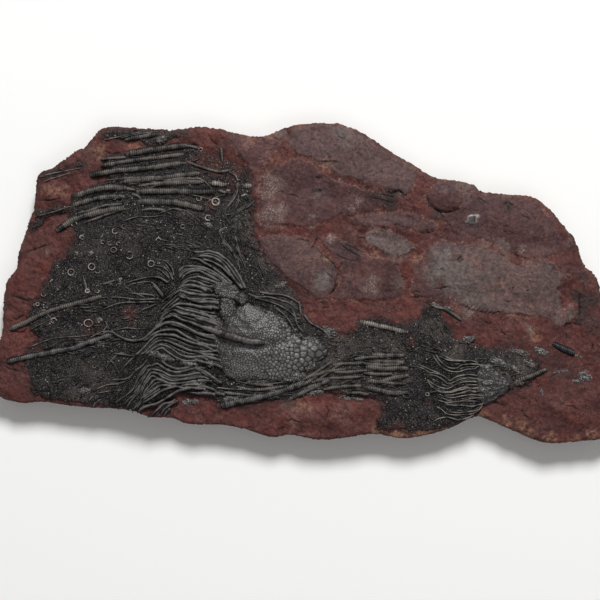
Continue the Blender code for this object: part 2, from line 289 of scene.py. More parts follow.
SWELLS = [  # middle, half length, half width, turn in degrees, rise
    ((26, 120), 58, 36, 12, 5.8), ((-4, 68), 42, 30, 0, 4.0), ((85, 95), 52, 26, -28, 5.2),
    ((4, 22), 47, 33, -18, 5.0), ((78, 21), 36, 30, -20, 4.5), ((82, 56), 40, 14, -8, 4.2),
    ((145, 86), 28, 16, -12, 4.6), ((212, 62), 44, 22, -14, 5.0), ((166, 16), 48, 30, -14, 5.6),
    ((238, 6), 40, 30, 6, 4.6), ((266, -124), 40, 28, 0, 3.6), ((18, -134), 60, 16, 4, 3.6),
    ((-281, 8), 14, 34, -4, 2.6), ((-282, -104), 22, 14, 0, 2.4), ((-254, 96), 13, 17, 0, 3.0),
    ((-62, 131), 32, 14, -14, 3.0)
]


def swell(x, y):
    """Rise of the marl's low nodules."""
    rise = np.zeros(np.shape(x))
    for (mx, my), half_length, half_width, turn, height in SWELLS:
        c, s = math.cos(math.radians(turn)), math.sin(math.radians(turn))
        u = ((x - mx) * c + (y - my) * s) / half_length
        v = ((y - my) * c - (x - mx) * s) / half_width
        rise = np.maximum(rise, 0.8 * height * np.maximum(0, 1 - u * u - v * v) ** 1.3)
    return rise


print("outline:", round(length_of(OUTER)), "mm round")

# %% [markdown]
# ## Where the mat of debris lies
#
# The sea lilies lie on a mat of their own broken parts. It covers the left half and a tongue
# to the right of the cup, and its border is ragged. An outline gives its rough limit, and
# ripples on the depth inside that outline fray it.

# %% Outlines of the mat
MAT = [
    survey("whole", [71,193, 68,210, 72,230, 74,241, 64,256, 51,263, 50,274, 43,286, 40,298, 31,308,
        27,319, 31,330, 40,337, 32,345, 29,353, 22,366, 31,379, 33,392, 45,398, 80,403, 120,409, 136,415,
        150,405, 163,397, 180,393, 200,396, 212,400, 222,409, 240,406, 260,402, 280,401, 300,398, 320,392,
        343,395, 366,395, 377,398, 384,403, 383,410, 379,420, 377,430, 400,431, 420,432, 440,430, 456,423,
        470,416, 483,404, 492,399, 506,392, 521,386, 536,378, 540,364, 521,353, 500,348, 484,346, 458,344,
        452,329, 447,320, 440,308, 432,303, 423,307, 419,317, 407,323, 389,321, 371,317, 359,321, 353,331,
        345,337, 330,333, 315,325, 304,315, 300,302, 293,290, 280,275, 268,259, 258,244, 253,232, 252,215,
        254,200, 253,185, 249,172, 238,164, 222,158, 205,151, 186,144, 166,144, 146,147, 126,151, 106,158,
        104,166, 112,170, 104,180, 92,188, 80,192]),
    survey("whole", [106,127, 140,127, 186,127, 186,133, 170,137, 158,143, 146,146, 136,139, 118,139,
        102,139]),
    survey("whole", [44,170, 58,165, 78,161, 88,164, 70,169, 50,176, 38,180]),
    survey("whole", [34,211, 60,205, 74,204, 74,210, 52,215, 34,219]),
    survey("whole", [27,228, 36,219, 44,216, 42,224, 30,233])
]


def mat_depth(x, y):
    """Depth inside the mat's frayed border."""
    return depth_in_any(x, y, MAT) + 2.6 * rough(x, y, 11, 401, 3) + 1.6 * ripple(x, y, 2.8, 403)


# %% [markdown]
# ## Plates in the marl
#
# To the right the bedding plane breaks up into smooth grey-purple plates, the tops of marl
# nodules, with worn red channels between them. Each plate is one surveyed outline. The marl
# is level inside it and drops over its rim, and the same depth gives its colour.

# %% Outlines of the plates
PLATES = {  # name: (outline, rise, how green the marl is there)
    "north": (survey("plates", [370,100, 500,80, 640,50, 760,60, 880,110, 1000,170, 1100,250, 1230,340,
        1360,390, 1460,440, 1450,560, 1410,660, 1350,710, 1280,660, 1180,640, 1080,620, 980,590, 880,550,
        780,530, 690,490, 620,430, 540,380, 440,340, 370,300, 330,240, 340,160]), 1.2, 0.25),
    "west": (survey("plates", [110,540, 160,500, 250,420, 350,390, 430,370, 520,410, 600,470, 680,540,
        770,570, 860,600, 960,640, 1060,670, 1150,700, 1200,760, 1150,800, 1050,830, 940,850, 850,860,
        780,870, 700,900, 620,940, 560,970, 480,980, 380,960, 260,960, 150,960, 90,930, 80,860, 80,740,
        85,640]), 1.3, 0.0),
    "north_west": (survey("plates", [-170,170, 0,190, 100,190, 200,150, 320,100, 335,130, 290,200,
        230,290, 180,370, 120,440, 60,470, 0,470, -60,400, -140,300]), 0.6, 0.0),
    "tongue": (survey("plates", [870,900, 1000,870, 1150,850, 1280,840, 1400,850, 1500,890, 1600,930,
        1640,960, 1600,1000, 1480,1020, 1400,1000, 1300,970, 1180,960, 1060,985, 960,960]), 1.2, 0.1),
    "eye": (survey("plates", [990,1050, 1070,1010, 1160,1000, 1240,1020, 1330,1060, 1420,1110, 1445,1160,
        1400,1205, 1320,1235, 1240,1225, 1170,1200, 1080,1160, 1010,1110]), 1.5, 0.55),
    "south_west": (survey("lobes", [60,220, 90,190, 200,175, 350,180, 440,190, 520,230, 590,290, 680,380,
        740,440, 775,510, 760,600, 720,680, 670,730, 610,740, 540,700, 470,650, 400,600, 330,550, 270,500,
        210,440, 160,390, 130,320, 90,280]), 1.5, 0.2),
    "south": (survey("lobes", [610,200, 700,190, 790,220, 880,260, 980,320, 1060,370, 1180,380, 1250,400,
        1300,480, 1330,560, 1340,640, 1330,720, 1260,740, 1150,745, 1020,740, 900,735, 800,740, 725,735,
        715,700, 780,620, 805,520, 785,440, 730,370, 660,290]), 1.4, 0.0),
    "narrow": (survey("whole", [413,264, 418,258, 425,252, 431,246, 427,258, 428,268, 435,278, 447,288,
        455,300, 458,308, 450,306, 440,300, 425,297, 414,297, 411,290, 413,280]), 0.8, 0.0),
    "great": (survey("right", [60,760, 70,690, 120,640, 190,615, 300,640, 430,655, 520,680, 620,690,
        700,730, 780,800, 850,830, 950,800, 1080,780, 1210,765, 1262,830, 1240,900, 1275,960, 1260,1040,
        1310,1110, 1290,1180, 1340,1240, 1300,1300, 1210,1320, 1080,1300, 960,1270, 840,1260, 700,1245,
        600,1250, 500,1220, 400,1200, 310,1140, 230,1050, 150,980, 90,900, 60,830]), 1.5, 0.38),
    "flake": (survey("right", [50,200, 110,120, 230,90, 330,130, 370,200, 370,280, 330,340, 240,360,
        150,345, 80,310]), 1.9, 0.0),
    "north_east": (survey("right", [390,200, 480,180, 560,210, 700,210, 830,240, 960,240, 1040,280,
        1100,330, 1160,420, 1230,470, 1290,590, 1330,650, 1280,690, 1200,735, 1080,760, 960,765, 860,765,
        780,715, 700,675, 620,625, 520,595, 430,565, 350,520, 270,490, 200,440, 165,385, 230,372, 330,350,
        380,290]), 0.9, 0.05)
}
GREEN_SPOTS = [  # across, down, radius, strength: where the marl was never oxidised
    (443, 266, 21, 1.0), (462, 274, 25, 0.9), (484, 290, 20, 0.6), (345, 138, 17, 0.6),
    (322, 279, 13, 0.9), (470, 300, 18, 0.6), (373, 236, 9, 0.8), (395, 250, 14, 0.5),
    (490, 266, 26, 0.45), (281, 131, 9, 0.6), (318, 192, 8, 0.6), (397, 283, 8, 0.4), (503, 246, 9, 0.5),
    (465, 190, 13, 0.45), (443, 190, 6, 0.3), (401, 191, 7, 0.5), (70, 282, 6, 0.3)
]


def plate_fields(x, y):
    """Rise of the plates, depth inside the nearest one, and how green the marl is."""
    rise, deepest = np.zeros(np.shape(x)), np.full(np.shape(x), -1e9)
    green = spots_field(x, y, GREEN_SPOTS, 61)
    fray = 1.7 * rough(x, y, 11, 55, 4, 0.55) + 0.9 * rough(x, y, 2.6, 57, 2, 0.7)
    fray = fray + step(x, 222, 262) * (11 * rough(x, y, 22, 58, 4, 0.6) - 2)  # torn off at the right end
    for outline, height, tint in PLATES.values():
        depth = depth_in(x, y, outline) + fray
        rise = np.maximum(rise, height * step(depth, -0.4, 1.5))
        green = np.maximum(green, tint * step(depth, 0, 3))
        deepest = np.maximum(deepest, depth)
    return rise, deepest, green


print("plates:", len(PLATES))

# %% [markdown]
# ## Cracks
#
# Cracks in the marl are narrower than the mesh of its surface. Each one is therefore a route
# with points of its own, which the triangulation below takes in, so that the groove stays
# sharp without a finer mesh everywhere.

# %% Crack routes
SURVEYED_CRACKS = [  # (sheet, cracks), each crack being (route, half width, depth)
    ("plates", [([575,412, 640,404, 700,402, 760,405, 810,418], 0.8, 1.6), ([1160,655, 1240,682, 1300,652,
        1345,690, 1370,725], 1.3, 2.6), ([210,672, 270,655, 330,690, 380,695, 430,712,
        500,745], 0.6, 0.9), ([560,535, 600,545, 640,540], 1.3, 1.2),
        ([590,650, 610,655, 630,650], 1.6, 1.2)]),
    ("right", [([-10,552, 60,546, 100,540, 138,512], 1.1, 2.2), ([75,312, 150,340, 190,362, 240,366,
        300,352, 355,334], 1.2, 2.4), ([88,1032, 180,1030, 272,1012], 0.8, 1.4),
        ([312,803, 340,770, 372,740], 0.8, 1.3), ([330,812, 352,790, 385,778], 0.6, 1.0),
        ([760,520, 800,545, 835,570], 0.7, 1.0), ([755,300, 775,320, 770,350], 1.2, 1.2)]),
    ("lobes", [([395,216, 450,210, 500,224, 535,245], 1.0, 1.8), ([560,280, 620,335, 690,385, 735,435,
        770,490, 785,550], 0.8, 1.2), ([595,165, 572,230, 530,305], 0.8, 1.5),
        ([640,480, 690,520, 712,548], 0.6, 0.9), ([752,560, 735,640, 690,720], 0.6, 0.8),
        ([730,330, 800,370, 880,400], 0.7, 1.1), ([1385,700, 1410,718, 1500,716], 0.8, 1.2)]),
    ("low_right", [([315,380, 400,386, 470,380, 565,406], 1.4, 2.6),
        ([600,868, 680,900, 765,926], 1.3, 2.0), ([880,945, 910,1000, 945,1045], 0.9, 1.6),
        ([1230,918, 1330,922, 1375,960], 0.6, 0.9), ([540,180, 590,205, 640,200], 1.0, 1.6),
        ([700,270, 740,300, 770,310], 0.9, 1.4)]),
    ("left", [([112,575, 180,545, 240,525, 330,498], 1.0, 1.8), ([28,832, 80,820, 160,846, 245,836], 1.0,
        1.8), ([60,942, 100,962, 150,928], 1.0, 1.6), ([165,400, 200,382, 260,365, 330,348], 0.8, 1.2),
        ([210,240, 300,242, 385,224], 0.8, 1.2), ([20,1240, 70,1262, 130,1275], 0.8, 1.2),
        ([185,1010, 130,1038, 60,1032], 0.7, 1.0)]),
    ("whole", [([284,421, 292,419, 304,424], 0.7, 1.0), ([325,403, 329,410, 325,420], 0.6, 1.0),
        ([560,325, 572,323, 586,326], 0.7, 1.0)]),
    ("upper", [([500,240, 560,260, 640,240], 0.9, 1.6), ([1215,130, 1240,170, 1290,210], 0.9, 1.6),
        ([1060,200, 1110,195, 1165,205], 0.9, 1.6)]),
    ("whole", [([338,242, 348,250, 360,257], 0.8, 1.5), ([344,243, 356,249, 368,254], 0.7, 1.2),
        ([366,197, 380,199, 396,204], 0.8, 1.4), ([372,192, 384,195, 398,198], 0.6, 1.0),
        ([500,205, 508,202, 516,207], 0.8, 1.2), ([520,214, 528,218, 534,222], 0.7, 1.1),
        ([433,208, 440,212, 446,219], 0.8, 1.4), ([262,318, 272,322, 284,331], 0.9, 1.5),
        ([581,288, 579,298, 580,312, 578,322], 1.3, 1.7)])
]

CRACKS = [(survey(sheet, route), half_width, depth)
          for sheet, cracks in SURVEYED_CRACKS for route, half_width, depth in cracks]
CRACKS += [(survey("whole", [464 + 4 * n, 309 + 0.9 * n, 469 + 4 * n, 304 + 0.9 * n]), 0.5, 0.8)
           for n in range(7)]  # a comb of short ones
draw = np.random.default_rng(99)  # and a scatter of short ones, most of them along the bedding's grain
for number in range(70):
    low, high = ((-60, -150), (300, 150)) if number % 4 else ((-300, -140), (-60, 150))
    start = draw.uniform(low, high)
    turn = math.radians(draw.normal(-8, 26)) + np.cumsum(draw.normal(0, 0.3, 5))
    hops = np.stack([np.cos(turn), np.sin(turn)], axis=1) * draw.uniform(0.8, 3.2)
    route = start + np.cumsum(hops, axis=0)
    if depth_in(*route.T, OUTER).min() > 5 and depth_in_any(*route.T, MAT).max() < -2:
        CRACKS.append((route, draw.uniform(0.35, 0.6), draw.uniform(0.5, 1.1)))


def crack_depth(x, y):
    """How far the cracks cut in at each point, and how much painted shade to lay in them."""
    cut, painted_shade_in_recesses = np.zeros(np.shape(x)), np.zeros(np.shape(x))
    for route, half_width, depth in CRACKS:
        near = (np.abs(x - route[:, 0].mean()) < 40) & (np.abs(y - route[:, 1].mean()) < 40)
        px, py = x[near], y[near]
        away = away_from(px, py, route)
        to_end = np.minimum(*(np.hypot(px - end[0], py - end[1]) for end in (route[0], route[-1])))
        taper = step(to_end, -0.5, 0.4 * length_of(route)) * (0.75 + 0.5 * ripple(px, py, 3, 97))
        cut[near] = np.maximum(cut[near], depth * taper * np.clip(1 - away / half_width, 0, 1))
        # Painted shade: each crack is coloured near black along its middle
        shade = np.minimum(1, 1.7 * taper) * (1 - step(away, 0.35 * half_width, 1.3 * half_width))
        painted_shade_in_recesses[near] = np.maximum(painted_shade_in_recesses[near], shade)
    return cut, painted_shade_in_recesses


print("cracks:", len(CRACKS))


# %% [markdown]
# ## Height of the marl
#
# The height of the rock is one function of place. It adds the swells, the plates, ripples at
# several scales, and small terraces: marl parts along its bedding, so a broken surface steps
# down by half a millimetre at a time. Every piece that lies on the slab asks this function.

# %% The marl's height
def terraces(x, y, size, rise, seed):
    """Flat treads with a short drop between, as a laminated rock breaks."""
    level = 2.6 * rough(x, y, size, seed, 4, 0.55)
    tread = np.floor(level)
    return rise * (tread + step(level - tread, 0.0, 0.16))


def edge_drop(x, y):
    """How far the surface rounds off at the slab's broken border."""
    edge = depth_in(x, y, OUTER) + 1.7 * rough(x, y, 9, 23, 4)
    return 2.9 * (1 - step(edge, -1.0, 4.6)) ** 1.5


def marl_height(x, y):
    """Height of the marl, in millimetres over the slab's back."""
    plate_rise, plate_depth, _ = plate_fields(x, y)
    on_plate = step(plate_depth, -0.5, 1.5)
    height = BED + swell(x, y) + plate_rise - 0.5 - edge_drop(x, y)
    height += 0.6 * rough(x, y, 48, 11, 3) + (0.44 - 0.30 * on_plate) * rough(x, y, 8, 17, 4)
    height += (1 - 0.7 * on_plate) * terraces(x + 0.3 * y, y, 26, 0.6, 71)
    height += 0.7 * on_plate * terraces(x, y, 34, 0.42, 77)
    height -= 1.6 * step(mat_depth(x, y), 0, 8)
    return height


# %% [markdown]
# ## From a height to a closed solid
#
# A height and an outline make a solid: points are spread inside the outline, a Delaunay
# triangulation joins them, and the outline is drawn down to a flat back. The points sit on a
# shaken hexagonal lattice, because a square one would show as steps along every ridge. They
# are close where the surface shows and far apart where another piece covers it.

# %% Points and the solid
FIELD = (-312, -166), (312, 166)  # corners of a rectangle round the slab


def spread(low, high, spacing, seed, shake=0.28):
    """Points on a shaken hexagonal lattice over a rectangle."""
    rows = np.arange(low[1], high[1], spacing * 0.866)
    columns = np.arange(low[0], high[0], spacing)
    y, x = np.meshgrid(rows, columns, indexing="ij")
    x = x + (np.arange(len(rows))[:, None] % 2) * spacing / 2
    shaken = np.random.default_rng(seed).uniform(-shake, shake, (2,) + x.shape) * spacing
    return np.stack([(x + shaken[0]).ravel(), (y + shaken[1]).ravel()], axis=1)


def facing_up(places, triangles):
    """The triangles, each turned so that it faces up."""
    a, b, c = (places[triangles[:, i]] for i in range(3))
    turn = (b[:, 0] - a[:, 0]) * (c[:, 1] - a[:, 1]) - (b[:, 1] - a[:, 1]) * (c[:, 0] - a[:, 0])
    triangles[turn < 0] = triangles[turn < 0][:, ::-1]
    return triangles


def solid_of(name, verts, faces, fields=None):
    """An object from points in millimetres, with its fields written on the points."""
    mesh = bpy.data.meshes.new(name)
    mesh.from_pydata((verts * MM).tolist(), [], faces)
    for key, values in (fields(*verts.T) if fields else {}).items():
        mesh.attributes.new(key, "FLOAT", "POINT").data.foreach_set("value", values.astype(np.float32))
    mesh.shade_smooth()
    made = bpy.data.objects.new(name, mesh)
    bpy.context.scene.collection.objects.link(made)
    mesh.calc_loop_triangles()
    sides = np.array([loop.edge_index for loop in mesh.loops])
    loose = int((np.bincount(sides, minlength=len(mesh.edges)) != 2).sum())
    print(f"{name}: {len(mesh.loop_triangles)} triangles, {loose} open edges")
    return made


def relief(name, ring, spots, height_at, levels, fields=None):
    """A closed solid under height_at. ring is its outline; levels gives the rings of its side,
    from the top down, as functions of (x, y, top) that return (x, y, z)."""
    count = len(ring)
    flat = [Vector(p) for p in np.concatenate([ring, spots]).tolist()]
    loop = [(i, (i + 1) % count) for i in range(count)]
    places, _, triangles = delaunay_2d_cdt(flat, loop, [], 1, 1e-5)[:3]
    places = np.array([tuple(p) for p in places])
    triangles = np.array([t[:3] for t in triangles], int)
    triangles = facing_up(places, triangles)

    top = np.column_stack([places, height_at(places[:, 0], places[:, 1])])
    verts, faces = [top], triangles.tolist()
    above = list(range(count))
    start = len(top)
    for level in levels:
        verts.append(np.column_stack(level(top[:count, 0], top[:count, 1], top[:count, 2])))
        here = list(range(start, start + count))
        faces += [(above[i], here[i], here[(i + 1) % count], above[(i + 1) % count]) for i in range(count)]
        above, start = here, start + count
    faces.append(above[::-1])
    return solid_of(name, np.concatenate(verts), faces, fields)


def counter_clockwise(ring):
    x, y = ring[:, 0], ring[:, 1]
    return ring if (x * np.roll(y, -1) - np.roll(x, -1) * y).sum() > 0 else ring[::-1]


# %% [markdown]
# ## The marl slab
#
# The slab is the largest piece. Its side is a fresh break, so each ring of it is pushed in and
# out by its own ripples, and ledges run along it where one bed of marl is harder than the
# next. The fields written on its points tell the material where it is a plate, a channel, a
# crack or a broken edge.

# %% Make the slab
def inward_of(ring):
    """Unit vectors that point into a counter-clockwise outline."""
    along = np.roll(ring, -3, axis=0) - np.roll(ring, 3, axis=0)
    return np.stack([-along[:, 1], along[:, 0]], axis=1) / np.linalg.norm(along, axis=1)[:, None]


BROWN_STAINS = [  # limonite along the broken edge and in worn hollows
    (378, 430, 10, 1.0), (393, 434, 12, 1.0), (412, 436, 12, 1.0), (430, 433, 10, 1.0),
    (446, 428, 8, 0.9), (482, 416, 8, 0.9), (530, 434, 9, 0.8), (550, 440, 10, 0.8), (505, 424, 9, 0.8),
    (575, 442, 9, 0.7), (590, 434, 8, 0.6), (535, 336, 9, 0.7), (500, 286, 5, 0.7), (274, 160, 6, 0.7),
    (266, 172, 5, 0.7), (325, 166, 8, 0.7), (375, 255, 6, 0.7), (62, 190, 9, 0.7), (47, 190, 8, 0.7),
    (98, 150, 10, 0.7), (135, 142, 12, 0.7), (272, 133, 8, 0.7), (416, 257, 6, 0.7), (520, 425, 9, 0.7),
    (300, 405, 10, 0.7), (250, 138, 8, 0.7), (327, 258, 6, 0.7)
]
DUST = [  # pinkish, worn and dusty
    (50, 188, 10, 0.9), (94, 152, 11, 0.8), (140, 143, 11, 0.6), (250, 142, 11, 0.5), (272, 138, 6, 0.9),
    (262, 160, 6, 0.6), (520, 312, 20, 0.8), (562, 318, 13, 0.5), (545, 300, 11, 0.5),
    (298, 414, 24, 0.8), (345, 416, 15, 0.6), (500, 421, 9, 0.6), (415, 262, 6, 0.5), (352, 232, 11, 0.6),
    (385, 232, 9, 0.5), (330, 308, 9, 0.4), (560, 402, 13, 0.4), (300, 248, 14, 0.4), (525, 265, 20, 0.5),
    (478, 260, 26, 0.7), (502, 284, 24, 0.7), (360, 270, 18, 0.6), (312, 262, 18, 0.5),
    (268, 152, 8, 0.8), (256, 168, 7, 0.5), (35, 250, 10, 0.3), (60, 225, 9, 0.4), (455, 232, 10, 0.4),
    (240, 150, 12, 0.5), (100, 168, 8, 0.5)
]
SOOT = [  # dark with carbon, though no fossil is left there
    (584, 300, 15, 1.0), (584, 318, 11, 0.8), (586, 276, 10, 0.8), (388, 198, 13, 0.9),
    (376, 196, 9, 0.7), (345, 247, 9, 0.6), (356, 252, 8, 0.6), (336, 243, 6, 0.5), (318, 190, 4, 0.7),
    (436, 214, 8, 0.6), (508, 205, 9, 0.5), (592, 325, 12, 0.6), (457, 258, 5, 0.3), (430, 203, 6, 0.5),
    (262, 320, 8, 0.3), (572, 236, 8, 0.3), (520, 350, 22, 0.35), (556, 368, 18, 0.4),
    (448, 346, 10, 0.5), (290, 402, 8, 0.4), (245, 404, 9, 0.4)
]
LACE = [  # crusts of moss animals and fresh chips, as white lace on the marl
    (271, 184, 14, 1.0), (267, 193, 9, 1.0), (273, 215, 16, 1.0), (358, 200, 6, 1.0), (352, 209, 4, 1.0),
    (312, 216, 4, 1.0), (313, 228, 4, 1.0), (523, 249, 5, 1.0), (341, 180, 3, 1.0), (371, 286, 12, 1.0),
    (330, 238, 6, 1.0), (530, 330, 6, 1.0), (470, 312, 7, 1.0), (47, 252, 4, 1.0)
]
side_count = 1500
outer_ring = counter_clockwise(smooth_line(OUTLINE, side_count, closed=True))
box_low, box_high = (np.array(corner[:2]) / MM for corner in cad_box)
outer_inward = inward_of(outer_ring)
push = np.interp(outer_ring[:, 1], [-120, 0], [-0.7, 2.0])[:, None]
outer_ring = outer_ring - outer_inward * push + (0, 0.8)
outer_ring = np.clip(outer_ring, box_low + 0.1, box_high - 0.1)  # inside the solid model's box
bite = 2.6 * np.abs(rough(*outer_ring.T, 12, 201, 5, 0.62))  # scoops between sharp spurs
top_ring = outer_ring + outer_inward * np.clip(bite, 0.05, 3.0)[:, None]


def slab_side(share):
    """The side's ring at a share of the way down from the top to the back."""
    def place(x, y, top):
        z = top * (1 - share)
        s = np.cumsum(np.hypot(*(np.roll(outer_ring, -1, axis=0) - outer_ring).T))
        ledges = terraces(s * 0.25, z + 0.25 * ripple(s, z, 22, 5), 7, 0.8, 221)
        lump = rough(s, z * 1.6, 11, 211, 4) + 0.5 * ledges
        back = np.clip(0.9 + 0.9 * lump + 1.6 * step(share, 0.86, 1.0), 0.15, 3.4)
        moved = outer_ring + outer_inward * back[:, None]
        return moved[:, 0], moved[:, 1], z
    return place


def marl_fields(x, y, z):
    """Where the marl is a plate, a rim, a side, what stains it, and where shade is painted in its cracks and
    crevices, each from 0 to 1.
    """
    _, plate_depth, green = plate_fields(x, y)
    _, painted_shade_in_recesses = crack_depth(x, y)
    # Painted shade at the foot of each plate's rim, as in a crevice
    painted_crevice_shade = np.exp(-((plate_depth + 0.9) / 0.6) ** 2) * step(ripple(x, y, 13, 59), 0.12, 0.4)
    side = 1 - step(z, BED - 5.0, BED - 2.0)
    stains = {"soot": (SOOT, 85), "brown": (BROWN_STAINS, 83), "lace": (LACE, 89), "dust": (DUST, 93)}
    return {
        "plate": step(plate_depth, -0.6, 1.2) * (1 - side), "green": green,
        "painted_shade_in_recesses": np.maximum(painted_shade_in_recesses, 0.8 * painted_crevice_shade),
        "rim": np.exp(-((plate_depth + 0.4) / 0.9) ** 2), "side": side,
        "soil": step(mat_depth(x, y), -5, 0),
        **{name: spots_field(x, y, *stain) for name, stain in stains.items()},
    }


fine = spread(*FIELD, 1.34, 1)
fine = fine[depth_in_any(*fine.T, MAT) < 5.0]
fine = fine[depth_in(*fine.T, OUTER) > 2.9]
coarse = spread(*FIELD, 5.0, 2)
coarse = coarse[(depth_in_any(*coarse.T, MAT) > 6.5) & (depth_in(*coarse.T, OUTER) > 4)]
crack_spots = []
for route, half_width, _ in CRACKS:
    centre = smooth_line(route, max(4, int(length_of(route) / 0.7)))
    run = np.gradient(centre, axis=0)
    side = np.stack([-run[:, 1], run[:, 0]], axis=1) / np.linalg.norm(run, axis=1)[:, None]
    fine = fine[away_from(*fine.T, centre) >= 1.25 * half_width]
    crack_spots += [centre, centre + side * half_width, centre - side * half_width]
crack_spots = np.concatenate(crack_spots)
crack_spots = crack_spots[depth_in(*crack_spots.T, OUTER) > 3]

slab = relief(
    "marl_slab_surface", top_ring, np.concatenate([fine, coarse, crack_spots]),
    lambda x, y: marl_height(x, y) - crack_depth(x, y)[0],
    [slab_side(share) for share in (0.04, 0.12, 0.2, 0.28, 0.36, 0.45, 0.54, 0.63, 0.72, 0.81, 0.9, 0.96)]
    + [lambda x, y, top: (*(outer_ring + outer_inward * 3.2).T, np.zeros(side_count))],
    marl_fields,
)

# %% [markdown]
# ## Height of the mat and of the crown's mound
#
# The mat is a crust about a millimetre and a half thick. It thickens under the large crown,
# whose arms lie on each other there. Outside its border the mat's surface dives under the
# marl's, and because both are uneven the line where they meet comes out as ragged as a real
# one. The smooth part of the height is a function of its own: stems and arms lie on that.

# %% Rings of the crown and the mat's height
CUP_RING = survey("cup", [1385,690, 1350,620, 1290,575, 1200,560, 1120,560, 1060,530, 1015,470, 985,420,
    945,370, 885,325, 800,275, 700,235, 610,212, 560,188, 505,182, 460,215, 430,262, 395,295, 325,335,
    300,400, 260,480, 235,560, 225,650, 235,730, 265,800, 275,880, 330,960, 450,1005, 600,1000, 720,990,
    820,1015, 920,1005, 1000,965, 1060,945, 1120,905, 1195,855, 1290,795, 1370,745])
ARM_FIELD = survey("whole", [262,300, 250,285, 240,268, 228,255, 213,249, 195,250, 180,262, 172,275,
    160,270, 150,272, 155,290, 165,300, 160,312, 150,325, 140,338, 128,345, 130,360, 120,375, 112,390,
    106,404, 130,411, 150,416, 165,406, 180,395, 205,393, 218,391, 226,370, 222,335])
RUBBLE = survey("whole", [210,292, 216,284, 226,280, 236,283, 242,296, 236,306, 228,318, 222,332, 226,352,
    230,366, 222,372, 212,362, 214,342, 218,320, 212,306])
SMALL_FIELD = survey("middle", [960,460, 1100,500, 1250,520, 1380,540, 1480,560, 1560,640, 1600,760,
    1540,860, 1450,900, 1380,990, 1250,1030, 1100,1030, 1000,960, 960,850, 900,740, 850,620, 900,520])


def mat_floor(x, y):
    """The smooth height that stems and arms lie on."""
    x, y = np.asarray(x, float), np.asarray(y, float)
    height = BED + 0.6 + swell(x, y) + 0.9 * step(depth_in_any(x, y, MAT), -2, 7)
    height += 2.4 * step(depth_in(x, y, ARM_FIELD), -5, 9) + 1.0 * step(depth_in(x, y, SMALL_FIELD), -3, 7)
    height += 0.7 * rough(x, y, 40, 301, 2)
    return height - edge_drop(x, y)


def mat_height(x, y):
    """The mat's full surface: lumps of debris on its smooth height."""
    border = mat_depth(x, y)
    near, _, number = cells(x, y, 2.1, 311)
    lumps = 0.55 * (number - 0.2) * (1 - step(near, 0.1, 0.55))
    calm = 1 - 0.6 * step(depth_in(x, y, ARM_FIELD), 0, 4)
    height = mat_floor(x, y) + calm * (0.62 * rough(x, y, 8, 321, 4, 0.62) + lumps)
    return height - 3.4 * (1 - step(border, -3.0, 2.2))


# %% [markdown]
# ## A patch of surface as a closed solid
#
# The mat has no simple outline, so its triangulation is made over a wider area and only the
# triangles on the mat are kept. The open border is then drawn down into the rock and closed
# underneath, where nothing shows.

# %% The patch
def patch(name, spots, loops, keep, height_at, base, fields=None):
    """A closed solid over the kept part of a triangulation of spots, down to the height base."""
    flat, edges = [tuple(p) for p in spots], []
    for loop in loops:
        start = len(flat)
        flat += [tuple(p) for p in loop]
        edges += [(start + i, start + (i + 1) % len(loop)) for i in range(len(loop))]
    places, _, triangles = delaunay_2d_cdt([Vector(p) for p in flat], edges, [], 0, 1e-5)[:3]
    places = np.array([tuple(p) for p in places])
    triangles = np.array([t[:3] for t in triangles], int)
    middle = places[triangles].mean(axis=1)
    triangles = triangles[keep(middle[:, 0], middle[:, 1])]
    triangles = facing_up(places, triangles)

    while True:  # a point where two borders touch would leave the solid's wall ambiguous
        sides = np.concatenate([triangles[:, [0, 1]], triangles[:, [1, 2]], triangles[:, [2, 0]]])
        there = set(map(tuple, sides.tolist()))
        border = np.array([side for side in sides.tolist() if (side[1], side[0]) not in there])
        pinched = np.flatnonzero(np.bincount(border[:, 0], minlength=len(places)) > 1)
        if not len(pinched):
            break
        triangles = triangles[~np.isin(triangles, pinched).any(axis=1)]

    rim = border[:, 0]
    below = {i: len(places) + n for n, i in enumerate(rim.tolist())}
    order = {i: n for n, i in enumerate(rim.tolist())}
    loop = [(order[i], order[j]) for i, j in border.tolist()]
    under = delaunay_2d_cdt([Vector(p) for p in places[rim].tolist()], loop, [], 0, 1e-7)[2]
    under = np.array([t[:3] for t in under], int)
    middle = places[rim][under].mean(axis=1)
    under = under[crossings_of(middle[:, 0], middle[:, 1], places[border]) % 2 == 1]
    under = facing_up(places[rim], under)[:, ::-1] + len(places)
    walls = [(j, i, below[i], below[j]) for i, j in border.tolist()]

    low = np.column_stack([places[rim], np.full(len(rim), base)])
    verts = np.concatenate([np.column_stack([places, height_at(places[:, 0], places[:, 1])]), low])
    return solid_of(name, verts, triangles.tolist() + walls + under.tolist(), fields)


# %% [markdown]
# ## The mat of debris
#
# This is the dark ground of the fossil: a crust of broken arms, columnals and mud. The lumps
# of its surface are a couple of millimetres across. The field called litter says where loose
# debris may be strewn later, and stain says where mud of another colour got into it.

# %% Make the mat
MAT_STAINS = [  # red and brown mud in the mat
    (129, 313, 11, 0.9), (92, 328, 11, 0.6), (172, 362, 10, 0.5), (198, 395, 12, 1.0),
    (184, 402, 12, 1.0), (212, 202, 9, 0.8), (221, 358, 7, 0.8), (232, 308, 6, 0.6), (340, 325, 14, 0.5),
    (325, 385, 9, 0.5), (410, 341, 8, 0.5), (432, 400, 9, 0.3), (60, 232, 9, 0.5), (40, 352, 8, 0.7),
    (172, 155, 9, 0.5), (198, 160, 12, 1.0), (215, 168, 12, 1.0), (206, 151, 10, 1.0),
    (236, 170, 10, 1.0), (224, 156, 10, 1.0), (230, 185, 10, 0.6), (350, 318, 8, 1.0), (338, 313, 9, 1.0),
    (318, 318, 8, 0.7), (306, 306, 7, 0.7), (398, 428, 9, 0.9), (450, 318, 8, 0.4), (335, 395, 9, 0.8),
    (128, 150, 7, 0.3)
]
